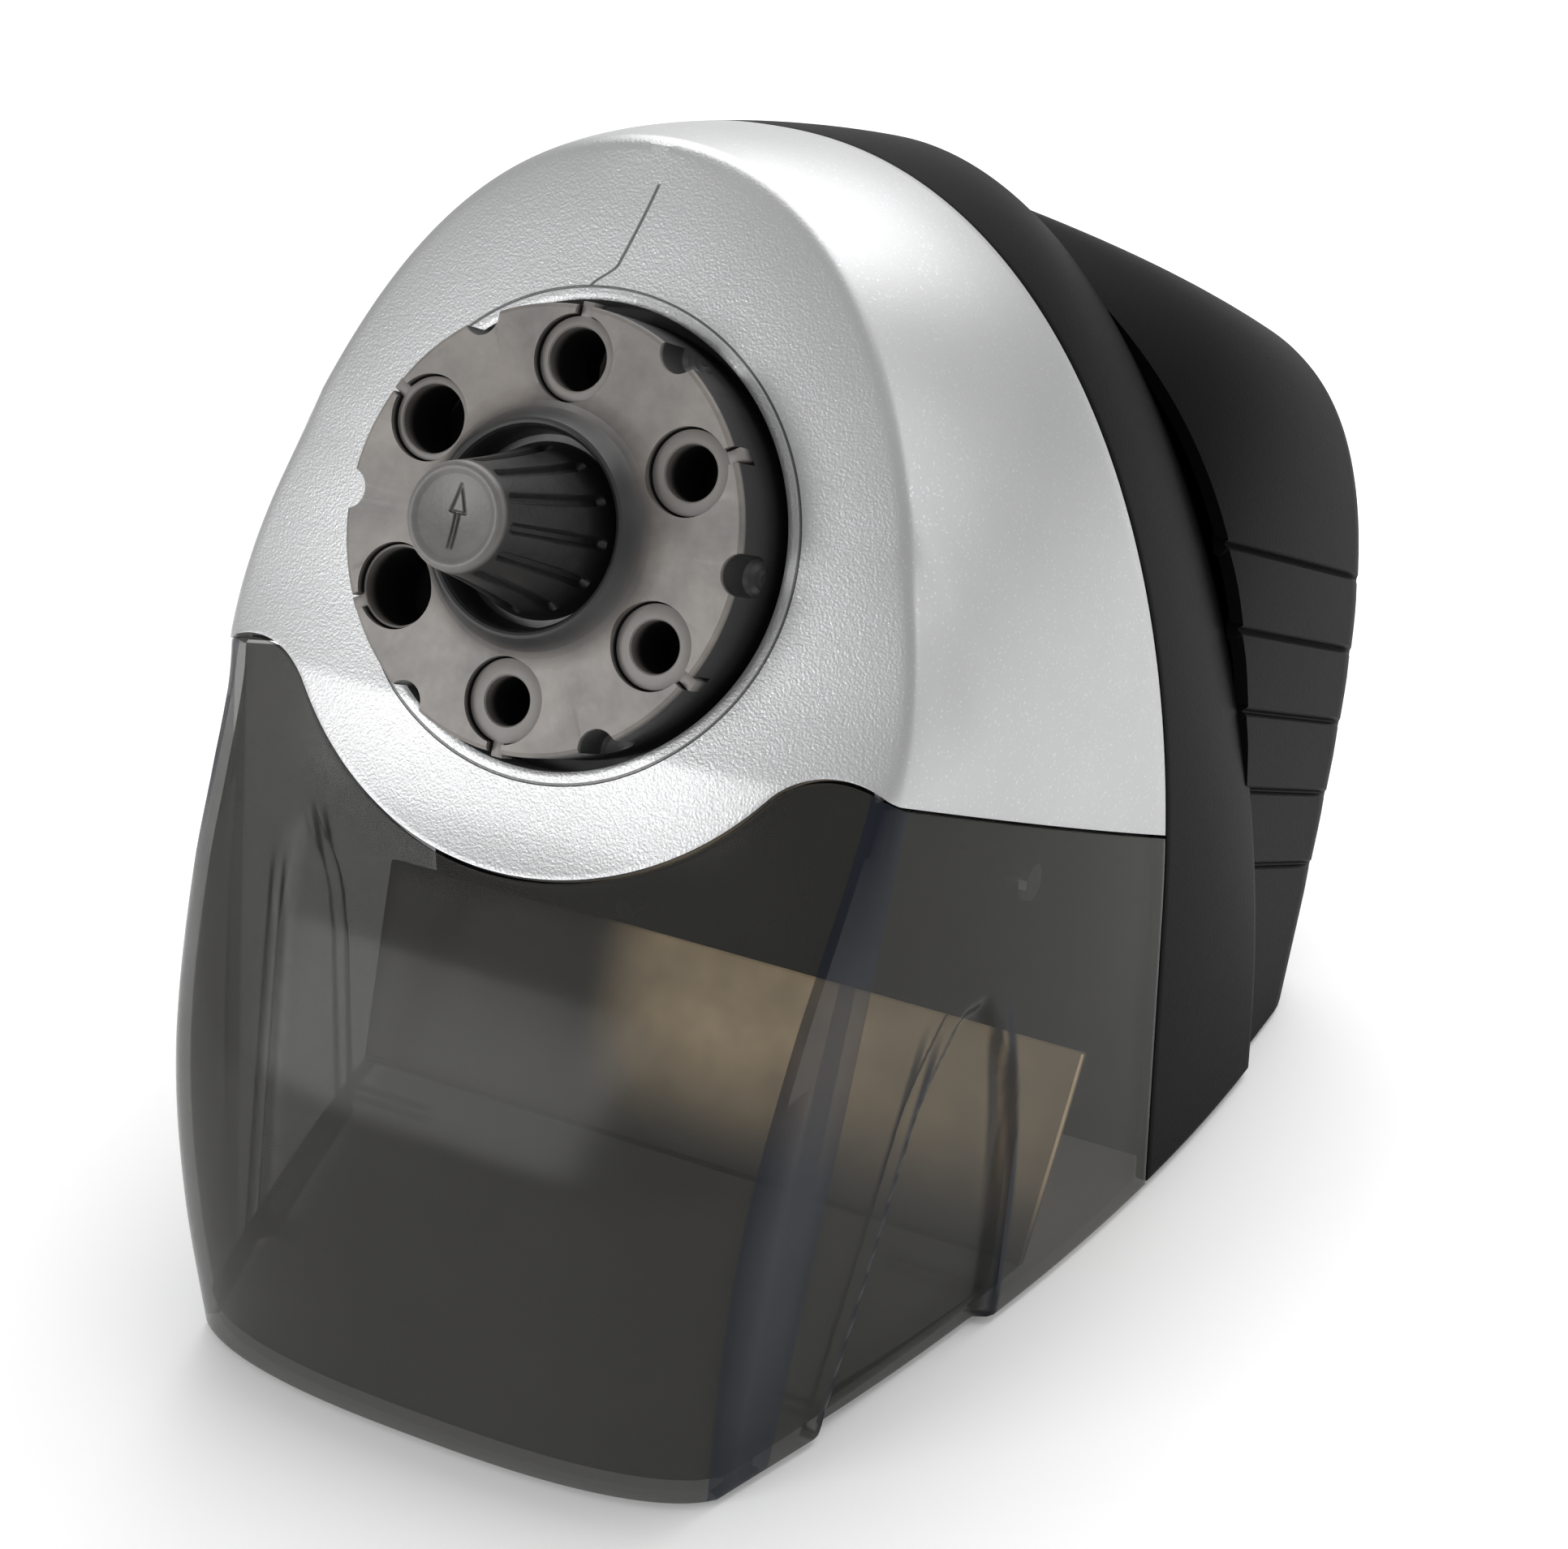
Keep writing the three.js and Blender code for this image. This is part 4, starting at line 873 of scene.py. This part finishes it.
disc_mesh = bmesh.new()
spun(disc_mesh, [
    (4.3, 5.8), (4.3, 1.8), (14.5, 1.8), (14.9, -2.8), (15.2, -3.7), (15.55, -4.2), (15.95, -4.35),
    (16.4, -4.15), (16.9, -3.5), (17.5, -2.5), (18.3, -1.4), (19.3, -0.6), (20.6, -0.15), (22, 0),
    (33.3, 0), (33.8, 0.25), (34, 0.8), (34, 16.2), (33.7, 16.5), (30.4, 16.5), (30.4, 3.6),
    (10, 3.6), (10, 5.8),
], 192)
disc = object_of(headed(disc_mesh), "dial_plate")

seats = bmesh.new()
for angle in hole_angles:
    centre = (hole_circle * cos(angle), hole_circle * sin(angle))
    seat = bush_radius + seat_room
    spun(seats, [(0, -6), (seat, -6), (seat, 20), (0, 20)], 48, centre)
carved(disc, headed(seats))
slots = bmesh.new()
for angle in hole_angles:
    made = bmesh.ops.create_cube(slots, size=1)["verts"]
    place = Matrix.Rotation(-angle, 4, "Y") @ Matrix.Translation((slot_out * mm, slot_back * mm, 0))
    bmesh.ops.transform(slots, matrix=place @ Matrix.Diagonal((*slot_size, 1)), verts=made)
carved(disc, headed(slots))
scoops = bmesh.new()
for angle in hole_angles:
    notch, out = angle + pi / 6, dial_radius + scoop_outside
    bends = [radians(a) for a in (0, 18, 36, 54, 72)]
    round_end = [(scoop_radius * cos(a), scoop_length + scoop_radius * sin(a)) for a in bends]
    tip = (0, scoop_length + scoop_radius)
    spun(scoops, [(0, -6), (scoop_radius, -6), *round_end, tip], 40, (out * cos(notch), out * sin(notch)))
carved(disc, headed(scoops), softened(0.16, 2, 35), sharp=14)
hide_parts("dial_disc")
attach(disc, "dial")

nylon_grey = Finish("dial_grey_nylon")
dial_back = along(nylon_grey, dial_axis, dial_centre)
mottle = nylon_grey.grain(11, 4, 0.6)
smear = nylon_grey.grain(3, 3, 0.6)
dial_across = along(nylon_grey, (1, 0, 0), dial_centre)
dial_up = along(nylon_grey, (0, -dial_axis.z, dial_axis.y), dial_centre)
dial_reach = (dial_across * dial_across + dial_up * dial_up).math("POWER", 0.5)
ring_black = dial_reach.level(16.8 * mm, 21 * mm, 1, 0)
skirt_black = dial_back.level(0.3 * mm, 1.2 * mm).math("MAXIMUM", ring_black)
face_tone = mottle.ramp((0.35, 0), (0.68, 1)).mixed(rgb(0.12, 0.111, 0.103), rgb(0.215, 0.192, 0.172))
nylon_grey.set(base_color=skirt_black.mixed(face_tone, rgb(0.014, 0.014, 0.015)))
nylon_grey.set(roughness=0.34 + smear * 0.16, specular_ior_level=0.6)
nylon_grey.bump(smear, 0.06, 0.6)
nylon_grey.on(disc)

# ------------------------------------------------------------ guide bushes
# Six nylon rings pressed into the dial from the front, one for each pencil size. Their faces lie
# a little below the dial's, and a tab on each keys into the slot at the rim.
recess, bush_back = 1.3, 13
bores = [4.75, 5.25, 6.0, 3.75, 3.95, 4.2]
tab_size, tab_out, tab_sunk, tab_edge = (0.0026, 0.0034, 0.002), 0.9, 1.75, 0.2
bush_grey = Finish("bush_nylon")
bush_depth = along(bush_grey, dial_axis, dial_centre)
bush_mottle = bush_grey.grain(5, 3)
bush_face = bush_mottle.mixed(rgb(0.14, 0.131, 0.123), rgb(0.21, 0.194, 0.18))
# Painted shade: each bush goes near black from 1.6 mm behind the dial's face inward, down its bore.
bush_grey.set(base_color=bush_depth.level(1.6 * mm, 4.5 * mm).mixed(bush_face, rgb(0.01, 0.01, 0.01)))
bush_grey.set(roughness=0.36 + bush_mottle * 0.14)
bush_grey.bump(bush_grey.grain(1.4, 2), 0.03)
for i, (angle, bore) in enumerate(zip(hole_angles, bores)):
    bush_mesh = bmesh.new()
    spun(bush_mesh, [
        (bore, bush_back), (bore, recess + 0.7), (bore + 0.08, recess + 0.2), (bore + 0.3, recess),
        (bush_radius - 0.2, recess), (bush_radius - 0.05, recess + 0.06), (bush_radius, recess + 0.2),
        (bush_radius, bush_back),
    ], 96)
    tab = bmesh.ops.create_cube(bush_mesh, size=1)["verts"]
    bmesh.ops.scale(bush_mesh, vec=tab_size, verts=tab)
    tab_place = ((bush_radius + tab_out) * mm, (recess + tab_sunk) * mm, 0)
    bmesh.ops.translate(bush_mesh, vec=tab_place, verts=tab)
    tab_edges = {edge for vert in tab for edge in vert.link_edges}
    bmesh.ops.bevel(
        bush_mesh, geom=list(tab_edges), affect="EDGES", offset=tab_edge * mm, segments=2, profile=0.5,
        material=-1,
    )
    bmesh.ops.translate(bush_mesh, vec=(hole_circle * mm, 0, 0), verts=bush_mesh.verts)
    bmesh.ops.rotate(bush_mesh, matrix=Matrix.Rotation(-angle, 3, "Y"), verts=bush_mesh.verts)
    bush = modified(object_of(headed(bush_mesh), f"bush_{i + 1}"))
    bush_grey.on(bush)
    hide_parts(f"guide_bush_{i + 1}")
    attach(bush, "dial")

# ------------------------------------------------------------ selector knob
# A hollow black cone pressed into the dial. Twelve round-ended grooves run up its side for grip,
# and its nose is a worn satin rim round a shallow dish with an engraved arrow.
nose, base_radius, foot_back, cone_length, waist = 8.1, 13.4, 1.5, 24.8, 0.35
groove_around = 2 * pi / 12
groove_middle, groove_half, groove_sunk = 11.6, 9.4, 0.95
around_steps, side_steps = 360, 64
rim_profile = [(nose, -23.3), (nose - 0.08, -23.8), (nose - 0.35, -24.25), (nose - 0.75, -24.47),
               (nose - 1.15, -24.5), (nose - 1.55, -24.35), (nose - 1.95, -24.05)]
dish_steps, dish_depth, arrow_depth = 44, 0.75, 0.32


def segment_distance(x, z, x0, z0, x1, z1):
    run, rise = x1 - x0, z1 - z0
    t = min(1, max(0, ((x - x0) * run + (z - z0) * rise) / (run * run + rise * rise)))
    return hypot(x - x0 - run * t, z - z0 - rise * t)


def arrow(x, z):
    """How deep the engraved arrow is at a place in the dish."""
    lines = ((-0.3, -4.6, -0.3, 0.6), (0.35, -4.6, 0.35, 0.6), (-1.2, 0.6, 1.2, 0.6),
             (-1.2, 0.6, 0, 4.6), (1.2, 0.6, 0, 4.6))
    near = min(segment_distance(x, z, *line) for line in lines)
    return arrow_depth * (1 - smooth(0.05, 0.3, near))


def knob_place(i, j):
    """A place on the knob: rows run up the grooved cone, over the rim and in across the dish."""
    angle = 2 * pi * i / around_steps
    if j <= side_steps:
        t = j / side_steps
        back = foot_back - cone_length * t
        radius = base_radius + (nose - base_radius) * t ** 0.94 - waist * sin(pi * t)
        from_groove = ((angle + groove_around / 2) % groove_around - groove_around / 2) * radius
        past_end = max(0, abs(back + groove_middle) - groove_half)
        off = hypot(from_groove / (0.95 + 0.25 * (1 - t)), past_end)
        radius -= groove_sunk * (1 - smooth(0.35, 1, off))
    elif j <= side_steps + len(rim_profile):
        radius, back = rim_profile[j - side_steps - 1]
    else:
        t = (j - side_steps - len(rim_profile)) / dish_steps
        radius = rim_profile[-1][0] * (1 - t)
        depth = dish_depth * (1 - (1 - t) ** 2)
        back = rim_profile[-1][1] + depth + arrow(radius * cos(angle), radius * sin(angle))
    return Vector((radius * cos(angle) * mm, back * mm, radius * sin(angle) * mm))


knob_mesh = bmesh.new()
laid_grid(knob_mesh, around_steps, side_steps + len(rim_profile) + dish_steps, knob_place)
bmesh.ops.remove_doubles(knob_mesh, verts=knob_mesh.verts, dist=0.003 * mm)
open_edges = [edge for edge in knob_mesh.edges if edge.is_boundary]
bmesh.ops.holes_fill(knob_mesh, edges=open_edges, sides=0)
knob = modified(object_of(headed(knob_mesh), "knob"))
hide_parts("selector_knob")
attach(knob, "dial")

knob_black = Finish("knob_black_plastic")
on_nose = 1 - along(knob_black, dial_axis, dial_centre).level(-23.9 * mm, -22.6 * mm)
wear = knob_black.grain(2.2, 4, 0.6)
cone_tone = wear.mixed(rgb(0.010, 0.010, 0.0105), rgb(0.017, 0.0165, 0.0165))
nose_tone = wear.mixed(rgb(0.09, 0.087, 0.084), rgb(0.145, 0.137, 0.13))
knob_black.set(base_color=on_nose.mixed(cone_tone, nose_tone))
knob_black.set(roughness=0.3 + on_nose * 0.08 + wear * 0.12, specular_ior_level=0.6)
knob_black.bump(knob_black.grain(0.7, 2), 0.03)
knob_black.on(knob)

# ------------------------------------------------------------ pieces kept as the CAD has them
# Feet, screws, gears, motor and switches are drawn as they are made. Each kind of material here
# has its own grain and tone.


def plain_finish(name, slot_names, dark, light, rough, metal=0, grain=1.0, depth=0.03):
    finish = Finish(name)
    cloudy = finish.grain(grain * 12, 3)
    finish.set(base_color=cloudy.mixed(rgb(*dark), rgb(*light)), metallic=metal)
    finish.set(roughness=finish.grain(grain * 3, 3) * 0.16 + rough)
    finish.bump(finish.grain(grain, 3), depth)
    for slot_name in slot_names.split():
        finish.on(frame["nodes"][slot_name])


base_corners = ("front_left", "rear_left", "front_right", "rear_right")
feet = " ".join(f"foot_{place}" for place in base_corners)
base_screws = " ".join(f"base_screw_{place}" for place in base_corners)
mount_screws = " ".join(f"mount_screw_{i}" for i in range(1, 5))
plain_finish("foot_rubber", feet + " cord_gland",
             (0.012, 0.012, 0.012), (0.022, 0.022, 0.021), 0.75, grain=0.4, depth=0.06)
plain_finish("zinc_steel", f"{base_screws} {mount_screws} cover_screw_left cover_screw_right dial_stud "
             "dial_clip detent_spring lever_pin cutter_axle motor_shaft motor_bracket_front "
             "motor_bracket_rear", (0.35, 0.35, 0.35), (0.5, 0.5, 0.49), 0.3, 1)
plain_finish("inner_black_plastic",
             "dial_mount cutting_head_housing start_switch interlock_switch interlock_plunger",
             (0.012, 0.012, 0.012), (0.022, 0.021, 0.02), 0.45)
plain_finish("white_nylon", "pencil_guide start_lever drive_gear ring_gear cooling_fan",
             (0.55, 0.54, 0.5), (0.68, 0.67, 0.62), 0.5)
plain_finish("cutter_steel", "helical_cutter motor_pinion",
             (0.42, 0.42, 0.43), (0.56, 0.56, 0.57), 0.22, 1, 0.5)
plain_finish("dark_steel", "cutter_carrier rotor stator_core",
             (0.1, 0.1, 0.105), (0.17, 0.17, 0.175), 0.42, 1, 0.7)
plain_finish("sintered_bronze", "head_bearing motor_bearing_front motor_bearing_rear",
             (0.33, 0.2, 0.08), (0.45, 0.29, 0.13), 0.42, 1, 0.5)
plain_finish("copper_winding", "field_coil", (0.4, 0.13, 0.05), (0.52, 0.19, 0.08), 0.35, 1, 0.6, 0.15)

# ------------------------------------------------------------ table
# A plain pale table top, level with the soles of the feet. It glows a little, as a studio's white
# sweep does under strong light, and isn't part of the sharpener.
table_half = 6
floor_mesh = bmesh.new()
bmesh.ops.create_grid(floor_mesh, x_segments=4, y_segments=4, size=table_half)
table = object_of(floor_mesh, "table")
pale = Finish("pale_table")
pale.set(base_color=rgb(0.95, 0.95, 0.95), roughness=0.7)
pale.set(emission_color=rgb(1, 1, 1), emission_strength=0.1)
pale.on(table)
